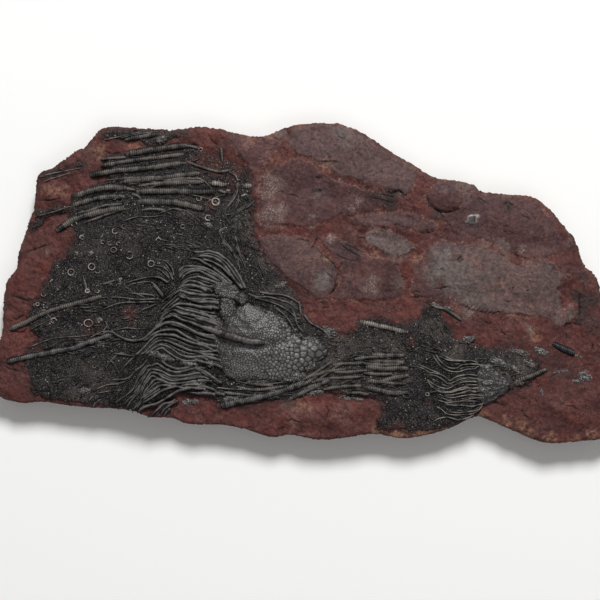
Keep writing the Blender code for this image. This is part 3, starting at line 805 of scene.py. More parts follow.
MAT_GREYS = [  # paler, greenish grey mud
    (342, 348, 22, 0.9), (250, 235, 14, 0.8), (240, 222, 10, 0.8), (435, 330, 15, 0.7),
    (290, 300, 14, 0.6), (275, 290, 14, 0.6), (500, 375, 22, 1.0), (520, 370, 16, 1.2),
    (455, 352, 14, 0.9), (380, 358, 24, 1.0), (350, 378, 18, 1.0), (395, 380, 16, 0.8),
    (250, 222, 12, 0.9), (268, 262, 10, 0.7), (130, 235, 22, 0.3), (90, 250, 22, 0.3),
    (190, 205, 22, 0.4), (340, 370, 20, 1.0), (95, 380, 22, 0.4), (70, 340, 14, 0.4), (300, 385, 20, 0.6),
    (160, 135, 16, 0.6), (80, 398, 16, 0.5), (300, 320, 12, 0.3), (172, 366, 11, 0.8)
]


def mat_fields(x, y, z):
    """Where the mat is stained, how much loose debris lies there, and where shade is painted on it round the
    crowns.
    """
    border = mat_depth(x, y)
    crowns = depth_in_any(x, y, [ARM_FIELD, CUP_RING, SMALL_FIELD])
    rubble, stain = step(depth_in(x, y, RUBBLE), -1, 3), spots_field(x, y, MAT_STAINS, 331)
    drifts = (1 - 0.75 * stain) * (0.3 + 0.85 * step(ripple(x, y, 16, 341), -0.5, 0.4))
    return {
        "soil": 1 - step(border, -1.0, 5.0), "stain": stain,
        "grey": spots_field(x, y, MAT_GREYS, 337),
        "litter": step(border, 0, 3) * drifts * np.maximum(1 - 0.93 * step(crowns, -4, 1), 1.5 * rubble),
        # Painted shade: the mat darkened round and between the arms and cups
        "painted_shade_round_crowns": step(crowns, -2, 3),
    }


mat_spots = spread(*FIELD, 1.32, 5)
mat_spots = mat_spots[(depth_in_any(*mat_spots.T, MAT) > -6) & (depth_in(*mat_spots.T, OUTER) > 2.4)]
mat_limit = top_ring + 0.5 * outer_inward
mat = patch(
    "debris_mat", mat_spots, [mat_limit],
    lambda x, y: (depth_in_any(x, y, MAT) > -4.5) & (depth_in(x, y, OUTER) > 1.2)
    & (depth_in(x, y, mat_limit[::6]) > -0.3),
    mat_height, BED - 6.0, mat_fields,
)

# %% [markdown]
# ## The cup of the large crown
#
# The cup is a dome of close-set plates. They are large and polygonal where the stem was
# joined and shrink to grains where the arms begin, so their centres are thrown one by one,
# each kept only if no other is nearer than the plate size wanted there. A tree of the centres
# then gives, at each point of the surface, the plate it is on and how near its seam is.

# %% Throw the plate centres and shape the dome
def plate_size(x, y):
    """Width wanted for a plate of the cup."""
    corner, squares = survey("cup", (0, 0))[0], SHEETS["cup"][2]
    across, down = (x - corner[0]) * squares, (corner[1] - y) * squares
    size = np.interp(across, [350, 620, 800, 950, 1080, 1300], [1.75, 2.2, 3.0, 4.3, 6.6, 8.4])
    low_side = step(down, 600, 760) * (1 - step(across, 800, 1000))
    return size * (1 + 0.35 * low_side)


def throw_centres(ring, size_at, tries, seed):
    """Random points in an outline, none closer to another than the size wanted there."""
    draw = np.random.default_rng(seed)
    spots = draw.uniform(ring.min(axis=0), ring.max(axis=0), (tries, 2))
    spots = spots[depth_in(spots[:, 0], spots[:, 1], ring) > -2.0]
    sizes = size_at(spots[:, 0], spots[:, 1]) * draw.uniform(0.72, 1.2, len(spots))
    kept = np.empty((0, 2))
    for spot, size in zip(spots, sizes):
        if not len(kept) or np.hypot(*(kept - spot).T).min() > 0.82 * size:
            kept = np.concatenate([kept, spot[None]])
    return kept


def tree_of(centres):
    """A search tree of points in the plane."""
    tree = kdtree.KDTree(len(centres))
    for number, (x, y) in enumerate(centres):
        tree.insert((x, y, 0), number)
    tree.balance()
    return tree


def nearest_two(tree, x, y):
    """Distances to the nearest and the next centre, and the nearest one's number."""
    found = [tree.find_n((px, py, 0), 2) for px, py in zip(x.tolist(), y.tolist())]
    return [np.array([hits[which][item] for hits in found]) for which, item in ((0, 2), (1, 2), (0, 1))]


cup_centres = throw_centres(CUP_RING, plate_size, 26000, 41)
cup_tree = tree_of(cup_centres)
cup_tilt = np.random.default_rng(43).uniform(-0.10, 0.10, (len(cup_centres), 2))
cup_lift = np.random.default_rng(44).uniform(-0.5, 0.5, len(cup_centres))
CUP_FOOT = BED + 2.2  # height from which the dome rises
CUP_FURROW = survey("cup", [300,590, 400,640, 560,670, 720,665, 800,620])
CUP_HOLLOW = survey("cup", [940,520, 960,590, 900,620])


def cup_plates(x, y):
    """For each point: the plate's swelling, its seam's closeness and the plate's number."""
    near, following, number = nearest_two(cup_tree, x, y)
    half, seam = (near + following) / 2, (following - near) / 2
    width = np.minimum(0.42 * half + 0.2, 2.0)
    swelling = step(seam, 0, width)
    offset = np.stack([x, y], axis=1) - cup_centres[number]
    tilt = (offset * cup_tilt[number]).sum(axis=1)
    bulge = 0.27 * half * swelling + swelling * (tilt + 0.16 * half * cup_lift[number])
    return bulge, 1 - step(seam, 0.1, 0.6 * width), number


def cup_dome(x, y):
    """The cup's smooth height over the mat."""
    depth = depth_in(x, y, CUP_RING) + 1.6 * rough(x, y, 8, 48, 4)
    dome = 11.4 * np.maximum(0, 1 - (1 - np.clip((depth + 1) / 28, 0, 1)) ** 2) ** 0.68
    toe = np.interp(x, [-45, -10, 22], [1.0, 0.85, 0.52])
    furrow = 1.5 * np.exp(-(away_from(x, y, CUP_FURROW) / 3.2) ** 2)
    hollow = 1.3 * np.exp(-(away_from(x, y, CUP_HOLLOW) / 3.6) ** 2)
    low_side = np.interp(y, [-100, -62], [0.55, 1.0])
    return toe * dome * low_side - furrow - hollow + 0.9 * rough(x, y, 15, 45, 4)


def cup_height(x, y):
    """The cup's full surface: its dome, its plates, and the drop at its rim."""
    bulge, _, _ = cup_plates(x, y)
    rim = depth_in(x, y, CUP_RING) + 0.6 * rough(x, y, 4, 46, 2)
    return CUP_FOOT + cup_dome(x, y) + bulge - 3.2 * (1 - step(rim, -1.6, 0.8))


def cup_fields(x, y, z):
    """Seams, each plate's own tone with painted light on the dome's low side, and a value that falls toward
    the dome's foot, partly wear and partly painted shade.
    """
    _, seam, number = cup_plates(x, y)
    # The 0.55 term is painted light on the dome's low side, which faces away from the lamp; the crest value
    # falls toward the dome's foot, partly wear and partly painted shade
    return {"seam": seam, "shade": cup_lift[number] + 0.5 + 0.55 * step(-y, 66, 90),
            "crest": 0.25 + 0.75 * step(z, BED + 2, BED + 8)}


cup_spots = spread(CUP_RING.min(axis=0) - 3, CUP_RING.max(axis=0) + 3, 0.52, 47, 0.2)
cup = patch("cup_plates", cup_spots, [], lambda x, y: depth_in(x, y, CUP_RING) > -1.8,
            cup_height, BED - 1.0, cup_fields)
print("plates in the cup:", len(cup_centres))

# %% [markdown]
# ## A tree that grows ringed columns along a route
#
# A crinoid's stem is a pile of discs, and its arms are piles of smaller ones. Both are a tube
# along a route whose radius pinches at each joint, so one geometry tree makes both: it
# resamples the route finely, pinches the radius by the length along it, sweeps a circle and
# stores how far up each face looks and how near a joint it is (joint). The materials paint
# the first as a painted highlight on top of each tube and painted shade down its sides.

# %% The column tree
def new_tree(name, **inputs):
    """A geometry tree with a geometry input, inputs given as kind={name: value}, and a geometry output."""
    tree = bpy.data.node_groups.new(name, "GeometryNodeTree")
    tree.is_modifier = True
    tree.interface.new_socket("Geometry", in_out="INPUT", socket_type="NodeSocketGeometry")
    for kind, labels in inputs.items():
        for label, value in labels.items():
            socket = tree.interface.new_socket(label, in_out="INPUT", socket_type="NodeSocket" + kind)
            if value is not None:
                socket.default_value = value
    tree.interface.new_socket("Geometry", in_out="OUTPUT", socket_type="NodeSocketGeometry")
    return tree


column_tree = new_tree(
    "ringed_column", Float={"Disc": 0.0012, "Pinch": 0.16, "Roundness": 3.0, "Samples": 4.0, "Wander": 0.0002,
                            "Seed": 0.0}, Int={"Sides": 12}, Material={"Material": None})
t = column_tree
given = add(t, "NodeGroupInput").outputs
spacing = add(t, "ShaderNodeMath", given["Disc"], given["Samples"], operation="DIVIDE")
line = add(t, "GeometryNodeMeshToCurve", given["Geometry"])
line = add(t, "GeometryNodeResampleCurve", {"Curve": line, "Length": spacing}, mode="LENGTH")
along = add(t, "GeometryNodeSplineParameter").outputs["Length"]
disc = add(t, "ShaderNodeMath", along, given["Disc"], operation="DIVIDE")
part = add(t, "ShaderNodeMath", disc, operation="FRACT")
off_middle = add(t, "ShaderNodeMath", part, 2.0, -1.0, operation="MULTIPLY_ADD")
off_middle = add(t, "ShaderNodeMath", off_middle, operation="ABSOLUTE")
joint = add(t, "ShaderNodeMath", off_middle, given["Roundness"], operation="POWER")
whole = add(t, "ShaderNodeMath", disc, operation="FLOOR")
number = add(t, "ShaderNodeMath", whole, given["Seed"], operation="ADD")
uneven = add(t, "ShaderNodeTexWhiteNoise", {"W": number}, noise_dimensions="1D")
uneven = add(t, "ShaderNodeMapRange", {"Value": uneven, "To Min": 0.93, "To Max": 1.05})
pinch = add(t, "ShaderNodeMath", joint, given["Pinch"], operation="MULTIPLY")
keep = add(t, "ShaderNodeMath", uneven, pinch, operation="SUBTRACT")
radius = add(t, "GeometryNodeInputNamedAttribute", {"Name": "thick"}, data_type="FLOAT")
radius = add(t, "ShaderNodeMath", radius, keep, operation="MULTIPLY")
held = add(t, "GeometryNodeStoreNamedAttribute", {"Geometry": line, "Name": "joint", "Value": joint})
drift = add(t, "ShaderNodeTexNoise", {"Scale": 90.0, "Detail": 2.0, "W": given["Seed"]}, noise_dimensions="4D")
drift = add(t, "ShaderNodeVectorMath", drift.outputs["Color"], (0.5, 0.5, 0.5), operation="SUBTRACT")
drift = add(t, "ShaderNodeVectorMath", {0: drift, "Scale": given["Wander"]}, operation="SCALE")
moved = add(t, "GeometryNodeSetPosition", {"Geometry": held, "Offset": drift})
section = add(t, "GeometryNodeCurvePrimitiveCircle", {"Resolution": given["Sides"], "Radius": 1.0})
swept = add(t, "GeometryNodeCurveToMesh", {
    "Curve": moved, "Profile Curve": section, "Scale": radius, "Fill Caps": True})
# How far up each face looks: painted later as a highlight on top and shade on the sides
up = add(t, "ShaderNodeSeparateXYZ", add(t, "GeometryNodeInputNormal")).outputs["Z"]
crest = add(t, "GeometryNodeStoreNamedAttribute", {"Geometry": swept, "Name": "crest", "Value": up})
smooth = add(t, "GeometryNodeSetShadeSmooth", {"Geometry": crest, "Shade Smooth": True})
real = add(t, "GeometryNodeRealizeInstances", smooth)
finished = add(t, "GeometryNodeSetMaterial", {"Geometry": real, "Material": given["Material"]})
add(t, "NodeGroupOutput", finished)


# %% [markdown]
# ## Running a tree
#
# A tree runs as a modifier on a source object. Its inputs are set by each socket's identifier
# before anything is evaluated, the result is taken off as a plain mesh, and the source goes.

# %% Grow a piece from a tree
def grown(name, source, tree, **values):
    """The mesh that a geometry tree makes from a source object, as a plain object."""
    modifier = source.modifiers.new(tree.name, "NODES")
    modifier.node_group = tree
    for item in tree.interface.items_tree:
        if item.item_type == "SOCKET" and item.in_out == "INPUT" and item.name in values:
            modifier[item.identifier] = values[item.name]
    bpy.context.view_layer.update()
    seen = source.evaluated_get(bpy.context.evaluated_depsgraph_get())
    mesh = bpy.data.meshes.new_from_object(seen)
    mesh.name = name
    bpy.data.objects.remove(source, do_unlink=True)
    made = bpy.data.objects.new(name, mesh)
    bpy.context.scene.collection.objects.link(made)
    mesh.calc_loop_triangles()
    print(f"{name}: {len(mesh.loop_triangles)} triangles")
    return made


def routes_object(name, routes):
    """A mesh of open lines, one for each (points in mm, radii in mm), for a tree to sweep."""
    verts, edges, thick = [], [], []
    for points, radii in routes:
        start = len(verts)
        verts += (points * MM).tolist()
        thick += (np.asarray(radii) * MM).tolist()
        edges += [(start + i, start + i + 1) for i in range(len(points) - 1)]
    mesh = bpy.data.meshes.new(name)
    mesh.from_pydata(verts, edges, [])
    mesh.attributes.new("thick", "FLOAT", "POINT").data.foreach_set("value", np.array(thick, np.float32))
    made = bpy.data.objects.new(name, mesh)
    bpy.context.scene.collection.objects.link(made)
    return made


def laid(line, radii, sink, extra=0.0):
    """A route laid on the slab: its height follows the mat's smooth surface, sunk by a share of
    the radius."""
    z = mat_floor(line[:, 0], line[:, 1]) + np.asarray(radii) * (1 - 2 * sink) * 0.5 + extra
    return np.column_stack([line, z])


# %% [markdown]
# ## Materials: the red marl
#
# The rock is hematite marl that split along its bedding and was brushed, not polished. So it
# is a dull dark red with mottling at two scales. Its worn rims are paler and orange, the tops
# of the nodules are purple, and where the iron was never oxidised it is grey-green. Each of
# these is one layer of colour, laid over the last wherever a field of the slab is high.
# Last, the cracks and the foot of each plate's rim are painted near black, as painted shade.

# %% Marl
def new_material(name, roughness, specular, fields=()):
    """A material, its tree, its shader with the values that don't vary, and what its fields are worth."""
    made = bpy.data.materials.new(name)
    made.use_nodes = True
    t = made.node_tree
    shader = t.nodes["Principled BSDF"]
    for label, value in {"Roughness": roughness, "IOR": 1.56, "Specular IOR Level": specular}.items():
        shader.inputs[label].default_value = value
    return made, t, shader, {
        field: add(t, "ShaderNodeAttribute", attribute_name=field).outputs["Fac"] for field in fields}


def lay(t, ground, *coats):
    """Lays coats of colour over ground. Each is (where, colour, strength, what breaks it up)."""
    for where, colour, strength, pattern in coats:
        amount = add(t, "ShaderNodeMath", where, pattern, operation="MULTIPLY")
        amount = add(t, "ShaderNodeMath", amount, strength, operation="MULTIPLY")
        if isinstance(colour, str):
            colour = linear(colour)
        ground = add(t, "ShaderNodeMix", {0: amount, 6: ground, 7: colour}, data_type="RGBA").outputs[2]
    return ground


def clouds(t, size, detail, low=0, high=1, distortion=0.0):
    """Noise with lumps of size mm: as it is, and spread so that low and high become 0 and 1."""
    plain = add(t, "ShaderNodeTexNoise", {
        "Vector": add(t, "ShaderNodeTexCoord").outputs["Object"], "Scale": 1 / (size * MM), "Detail": detail,
        "Roughness": 0.65, "Distortion": distortion})
    return plain, add(t, "ShaderNodeMapRange", {"Value": plain, "From Min": low, "From Max": high})


def dappled(t, ground, pattern, low, high):
    """Ground scaled by a pattern, from low to high."""
    scale = add(t, "ShaderNodeMapRange", {"Value": pattern, "To Min": low, "To Max": high})
    return add(t, "ShaderNodeVectorMath", {0: ground, "Scale": scale}, operation="SCALE").outputs[0]


def chips(t, size, share):
    """Small separate dots, size mm apart: 1 in their middle."""
    away = add(t, "ShaderNodeTexVoronoi", {
        "Vector": add(t, "ShaderNodeTexCoord").outputs["Object"], "Scale": 1 / (size * MM)})
    return add(t, "ShaderNodeMapRange", {"Value": away, "From Min": share, "From Max": 0.5 * share})


def lines(t, size, width, distortion):
    """Thin wandering lines, 1 along them, where a noise crosses its middle."""
    plain, _ = clouds(t, size, 6.0, distortion=distortion)
    away = add(t, "ShaderNodeMath", plain, 0.5, operation="SUBTRACT")
    away = add(t, "ShaderNodeMath", away, operation="ABSOLUTE")
    return add(t, "ShaderNodeMapRange", {"Value": away, "From Min": width, "From Max": 0.2 * width})


def ledges(t, size, count, drop=0.13):
    """A stepped height: flat treads with short sharp drops, and 1 along the drops."""
    plain, _ = clouds(t, size, 7.0, distortion=0.4)
    level = add(t, "ShaderNodeMath", plain, count, operation="MULTIPLY")
    tread = add(t, "ShaderNodeMath", level, operation="FLOOR")
    part = add(t, "ShaderNodeMath", level, operation="FRACT")
    rise = add(t, "ShaderNodeMapRange", {"Value": part, "From Max": drop}, interpolation_type="SMOOTHSTEP")
    height = add(t, "ShaderNodeMath", tread, rise, operation="ADD")
    return height, add(t, "ShaderNodeMapRange", {"Value": part, "From Min": drop, "From Max": 0.0})


def finish_shader(t, shader, ground, *bumps):
    """Links the colour, and bumps given as (pattern, strength, depth in mm)."""
    t.links.new(ground, shader.inputs["Base Color"])
    below = {}
    for pattern, strength, depth in bumps:
        bump = add(t, "ShaderNodeBump", {
            "Height": pattern, "Strength": strength, "Distance": depth * MM, **below})
        below = {"Normal": bump}
    t.links.new(bump.outputs[0], shader.inputs["Normal"])


marl, t, shader, field = new_material(
    "hematite_marl_split_and_brushed", 0.6, 0.2,
    ["plate", "green", "dust", "rim", "brown", "soil", "soot", "side", "lace", "painted_shade_in_recesses"])
_, warm = clouds(t, 33, 7.0, 0.38, 0.62, 0.4)
_, patchy = clouds(t, 11, 6.0, 0.38, 0.62, 0.5)
mottle, fleck = clouds(t, 3.4, 8.0, 0.34, 0.66)
grain, grainy = clouds(t, 0.9, 3.0, 0.3, 0.7)
treads, drops = ledges(t, 17, 9.0)
veins = lines(t, 26, 0.012, 1.0)
beds = add(t, "ShaderNodeMapping", {  # thin beds along the broken side
    "Vector": add(t, "ShaderNodeTexCoord").outputs["Object"], "Scale": (14.0, 14.0, 420.0)})
beds = add(t, "ShaderNodeTexNoise", {"Vector": beds, "Scale": 1.0, "Detail": 4.0, "Roughness": 0.6})

red = lay(t, linear("#3d201f"), (warm, "#5c2e28", 1.0, 1.0), (patchy, "#55322f", 0.6, 1.0))
violet = lay(t, linear("#3b2728"), (patchy, "#533839", 1.0, 1.0), (warm, "#573734", 0.6, 1.0))
ground = lay(
    t, red, (field["plate"], violet, 1.0, 1.0), (field["green"], "#6a615d", 0.9, 1.0),
    (field["dust"], "#76564f", 0.75, patchy), (field["rim"], "#73483d", 0.8, patchy),
    (field["brown"], "#83604b", 0.95, fleck), (field["soil"], "#1f1819", 1.0, patchy),
    (field["soot"], "#352d2b", 0.85, 1.0), (field["soot"], "#1b1615", 0.6, fleck),
    (field["side"], "#5d463d", 1.1, beds))
ground = dappled(t, dappled(t, ground, fleck, 0.62, 1.42), grainy, 0.7, 1.32)
# The last coat is painted shade: cracks and crevices near black
ground = lay(
    t, ground, (drops, "#7d5b50", 0.35, fleck), (field["lace"], "#7b665f", 0.9, grainy),
    (chips(t, 1.7, 0.26), "#94827b", 0.45, patchy), (field["lace"], "#b3a7a0", 0.55, chips(t, 1.6, 0.4)),
    (field["rim"], "#a8968d", 0.6, chips(t, 1.5, 0.42)), (veins, "#150d0d", 0.8, patchy),
    (field["painted_shade_in_recesses"], "#0d0808", 1.0, 1.0))
finish_shader(t, shader, ground, (treads, 0.8, 0.45), (mottle, 0.6, 2.0), (grain, 0.5, 0.5))
slab.data.materials.append(marl)
print("marl:", len(t.nodes), "nodes")

# %% [markdown]
# ## Materials: the mat, and the calcite of the sea lilies
#
# Fossil crinoid plates are single crystals of calcite, here dyed almost black by carbon. The
# ridges were rubbed when the slab was cleaned, so they are a little paler and shine a little.
# On top of that the field called crest paints a highlight on the upper faces and shade down the
# sides and in the gaps. The mat is the same calcite as crumbs in mud, so it is darker, with
# specks that catch the light, and shade is painted on it round the crowns.

# %% Mat and calcite
debris, t, shader, field = new_material(
    "carbonaceous_mud_with_calcite_crumbs", 0.45, 0.14, ["grey", "stain", "soil", "painted_shade_round_crowns"])
_, broad = clouds(t, 15, 5.0, 0.36, 0.64)
crumbs, coarse_crumbs = clouds(t, 1.5, 5.0, 0.32, 0.68)
# The last coat of the ground is painted shade round the arms and cups
ground = lay(
    t, linear("#0d0b0b"), (broad, "#272324", 1.0, 1.0), (field["grey"], "#48423d", 0.75, 1.0),
    (field["stain"], "#41241e", 0.85, 1.0), (field["soil"], "#382422", 0.9, 1.0),
    (field["painted_shade_round_crowns"], "#080707", 0.9, 1.0))
ground = dappled(t, ground, coarse_crumbs, 0.3, 1.9)
ground = lay(t, ground, (chips(t, 1.3, 0.34), "#a09892", 0.7, coarse_crumbs))
finish_shader(t, shader, ground, (crumbs, 0.9, 1.5))
mat.data.materials.append(debris)


def calcite_material(name, low, high, joint_dark, roughness):
    """Dark calcite: painted shade in the gaps and down the sides, a painted highlight on the crests mixed with
    wear, darker at the joints.
    """
    made, t, shader, field = new_material(name, roughness, 0.22, ["crest", "joint"])
    _, wear = clouds(t, 8, 4.0, 0.3, 0.7)
    pits, pitted = clouds(t, 1.1, 3.0, 0.3, 0.7)
    crest = add(t, "ShaderNodeMath", wear, 0.9, -0.45, operation="MULTIPLY_ADD")
    crest = add(t, "ShaderNodeMath", crest, field["crest"], operation="ADD")
    crest = add(t, "ShaderNodeMapRange", {
        "Value": crest, "From Min": 0.4, "From Max": 1.25}, interpolation_type="SMOOTHSTEP")
    # Lighter on the crests and darker down the sides: painted highlight and painted shade, mixed with wear
    ground = lay(t, linear(low), (crest, high, 1.0, 1.0), (field["joint"], "#0c0909", joint_dark, 1.0))
    finish_shader(t, shader, dappled(t, ground, pitted, 0.7, 1.3), (pits, 0.55, 0.45))
    return made


arm_calcite = calcite_material("black_calcite_arms_rubbed_and_painted_light_on_the_crests", "#0a0808", "#625d5d", 0.3, 0.38)
stem_calcite = calcite_material("black_calcite_columnals_weathered", "#151312", "#6e6761", 0.8, 0.42)
crumb_calcite = calcite_material("black_calcite_debris", "#0c090a", "#585150", 0.85, 0.42)
crumb_pale = calcite_material("pale_calcite_where_fresh", "#3d3734", "#beb4ac", 0.4, 0.4)
strand_calcite = calcite_material("grey_calcite_thin_arms", "#1a1717", "#7d766f", 0.3, 0.4)
ray_calcite = calcite_material("grey_calcite_ray_brushed", "#171314", "#5d5653", 0.3, 0.4)
stem_dark = calcite_material("black_calcite_columnals_under_a_film_of_carbon", "#070707", "#34363a", 0.8, 0.4)
stem_pale = calcite_material("pale_calcite_columnals_freshly_chipped", "#1b1817", "#968d85", 0.9, 0.42)

plates, t, shader, field = new_material(
    "grey_calcite_cup_plates_brushed", 0.36, 0.35, ["shade", "crest", "pale", "seam"])
pits, pitted = clouds(t, 0.9, 4.0, 0.3, 0.7)
cloud, _ = clouds(t, 11, 3.0, 0.3, 0.7)
# The shade field is each plate's own tone, with painted light on the large cup's low side
tone = add(t, "ShaderNodeMath", field["shade"], cloud, operation="ADD")
tone = add(t, "ShaderNodeMapRange", {"Value": tone, "From Min": 0.3, "From Max": 1.5})
face = lay(t, linear("#302b2c"), (tone, "#6d6868", 1.0, 1.0))
# Near black where the crest value is low: painted shade at the dome's foot, round the small cup's seams and
# round the heaps' seams and borders; the seam coat is dark joints
face = lay(t, linear("#171314"), (field["crest"], face, 1.0, 1.0), (field["pale"], "#a79c94", 0.8, pitted),
           (field["seam"], "#0c0909", 0.95, 1.0))
finish_shader(t, shader, dappled(t, face, pitted, 0.75, 1.25), (pits, 0.5, 0.4))
cup.data.materials.append(plates)

# %% [markdown]
# ## The arms of the large crown
#
# The arms leave the rim of the cup side by side and sweep to the left. The upper ones arch over
# to a knot at the left, the middle ones turn down through a fold, and the lower ones end as
# loose tips. Each was surveyed from the cup outwards, and each is laid on the mat a little
# higher or lower than its neighbour, as a bundle of wet cords would settle.

# %% Routes of the arms
ARMS = [  # (sheet, radius at the start, radius at the end, routes)
    ("arcs", 1.85, 1.4, [[1190,1500, 1140,1390, 1080,1260, 1020,1160, 970,1090, 900,1010, 830,960,
        760,910, 690,890, 620,870, 540,885, 460,885, 390,880], [1140,1470, 1090,1390, 1000,1290, 930,1190,
        860,1090, 790,1020, 700,970, 620,950, 540,940, 470,950], [1080,1370, 990,1280, 900,1190, 810,1100,
        740,1060, 660,1020, 580,1000, 540,985], [1020,1410, 950,1330, 870,1250, 790,1190, 700,1120,
        620,1070, 560,1040, 500,1000, 430,980, 340,980], [960,1390, 870,1310, 780,1230, 700,1180,
        620,1140, 540,1110, 460,1095, 380,1090, 300,1090, 240,1120, 190,1180], [900,1370, 830,1300,
        740,1230, 650,1190, 580,1150, 500,1130, 420,1125, 340,1140, 280,1170, 230,1220, 200,1270],
        [850,1340, 750,1290, 640,1230, 560,1190, 480,1155, 400,1160, 330,1185, 280,1220, 240,1280],
        [810,1360, 740,1330, 640,1290, 560,1265, 480,1240, 420,1250, 340,1265, 290,1290, 230,1330],
        [720,1380, 640,1380, 560,1360, 480,1320, 400,1300, 330,1300, 280,1330, 210,1370], [660,1470,
        600,1440, 520,1400, 440,1375, 370,1360, 290,1365, 220,1390, 170,1420], [640,1510, 540,1500,
        440,1490, 350,1480, 270,1450, 200,1440], [620,1568, 520,1565, 430,1560, 330,1550, 280,1510,
        200,1510]]),
    ("crown", 1.9, 1.4, [[1530,515, 1500,520, 1400,510, 1310,510, 1250,530, 1215,560], [1540,580,
        1490,580, 1400,575, 1310,560, 1240,540, 1200,560], [1550,642, 1500,638, 1430,640, 1350,625,
        1270,600, 1240,590], [1550,698, 1490,690, 1420,680, 1350,665, 1280,655, 1220,655, 1160,690,
        1110,720, 1085,740], [1560,762, 1527,760, 1450,745, 1350,715, 1280,700, 1220,680, 1190,680,
        1130,720], [1580,820, 1527,800, 1430,770, 1330,745, 1250,730, 1200,705, 1150,715, 1100,750,
        1075,790], [1527,880, 1440,850, 1340,810, 1260,785, 1190,750, 1140,760, 1100,780, 1070,820,
        1030,850], [1620,960, 1527,940, 1400,900, 1300,850, 1200,810, 1120,810, 1070,835, 1030,860,
        990,900, 940,940, 870,955, 800,945, 740,920, 690,890, 640,880, 600,900]]),
    ("fold", 1.75, 1.25, [[1500,200, 1400,180, 1280,160, 1170,110, 1060,70, 960,45, 850,45, 780,90],
        [1480,310, 1350,280, 1250,240, 1150,190, 1060,130, 1000,120, 900,125, 840,140, 760,180, 680,240,
        620,240, 560,240, 480,245, 390,215, 330,190, 260,130, 190,180], [1500,370, 1380,310, 1250,280,
        1120,230, 1030,190, 950,180, 870,180, 800,190, 740,240, 680,310, 610,380, 550,430], [1480,470,
        1320,390, 1200,365, 1100,320, 1000,280, 930,255, 860,250, 800,270, 740,320, 680,380, 620,420],
        [1480,530, 1400,470, 1320,440, 1220,450, 1120,430, 1050,390, 980,340, 910,310, 850,300, 790,330,
        730,370, 670,420], [1480,600, 1400,520, 1330,490, 1230,495, 1130,490, 1040,450, 980,410, 920,370,
        880,340, 810,360, 760,400, 700,450], [1250,550, 1150,580, 1060,590, 990,570, 930,540, 860,480],
        [1460,620, 1360,580, 1270,580, 1200,600, 1060,630, 960,610, 900,580, 820,530, 750,550, 700,560,
        650,640, 590,700, 560,780], [1500,690, 1400,650, 1300,640, 1200,660, 1080,675, 970,670, 880,620,
        800,600, 730,600, 690,650, 640,720, 600,800, 540,880], [1440,700, 1340,690, 1240,700, 1130,715,
        1000,730, 900,700, 830,650, 750,635, 700,700, 650,780, 620,860], [1450,760, 1350,740, 1250,740,
        1130,760, 1000,765, 880,740, 800,690, 750,680, 700,740, 660,800, 630,880], [1510,850, 1420,810,
        1300,780, 1180,780, 1080,800], [1050,770, 960,765, 860,720, 790,720, 740,770, 690,830, 650,900],
        [1060,800, 960,790, 850,790, 780,840, 700,900, 650,940], [1500,860, 1350,830, 1200,815, 1130,820,
        1050,800, 970,815, 880,850, 800,900, 730,950, 640,1000], [1490,880, 1380,880, 1290,880, 1200,870],
        [1290,840, 1200,820, 1100,845, 1040,870, 960,920, 880,970, 800,1010, 720,1030, 640,1060,
        580,1120], [1080,930, 990,990, 900,1010, 830,1070, 760,1130, 700,1170], [1100,960, 1000,1000,
        900,1080, 860,1150], [1000,1050, 930,1100, 900,1150]]),
    ("cup", 2.1, 1.7, [[185,90, 150,50, 0,20], [260,130, 150,110, 0,110], [260,200, 185,180, 0,180],
        [280,260, 180,235, 0,235], [300,440, 260,400, 180,350, 100,300, 0,290],
        [260,430, 200,400, 100,370, 0,345], [270,540, 210,530, 150,530, 60,510, 0,480],
        [280,650, 200,640, 100,620, 0,590], [260,690, 200,690, 100,700, 0,690],
        [290,800, 210,770, 100,750, 0,750], [300,870, 210,830, 100,810, 0,780], [340,1040, 260,1010,
        200,970, 100,900, 0,870], [200,1010, 100,1000, 0,1000], [360,1150, 240,1130, 210,1100, 130,1070,
        0,1060], [240,1150, 130,1130, 0,1130]])
]
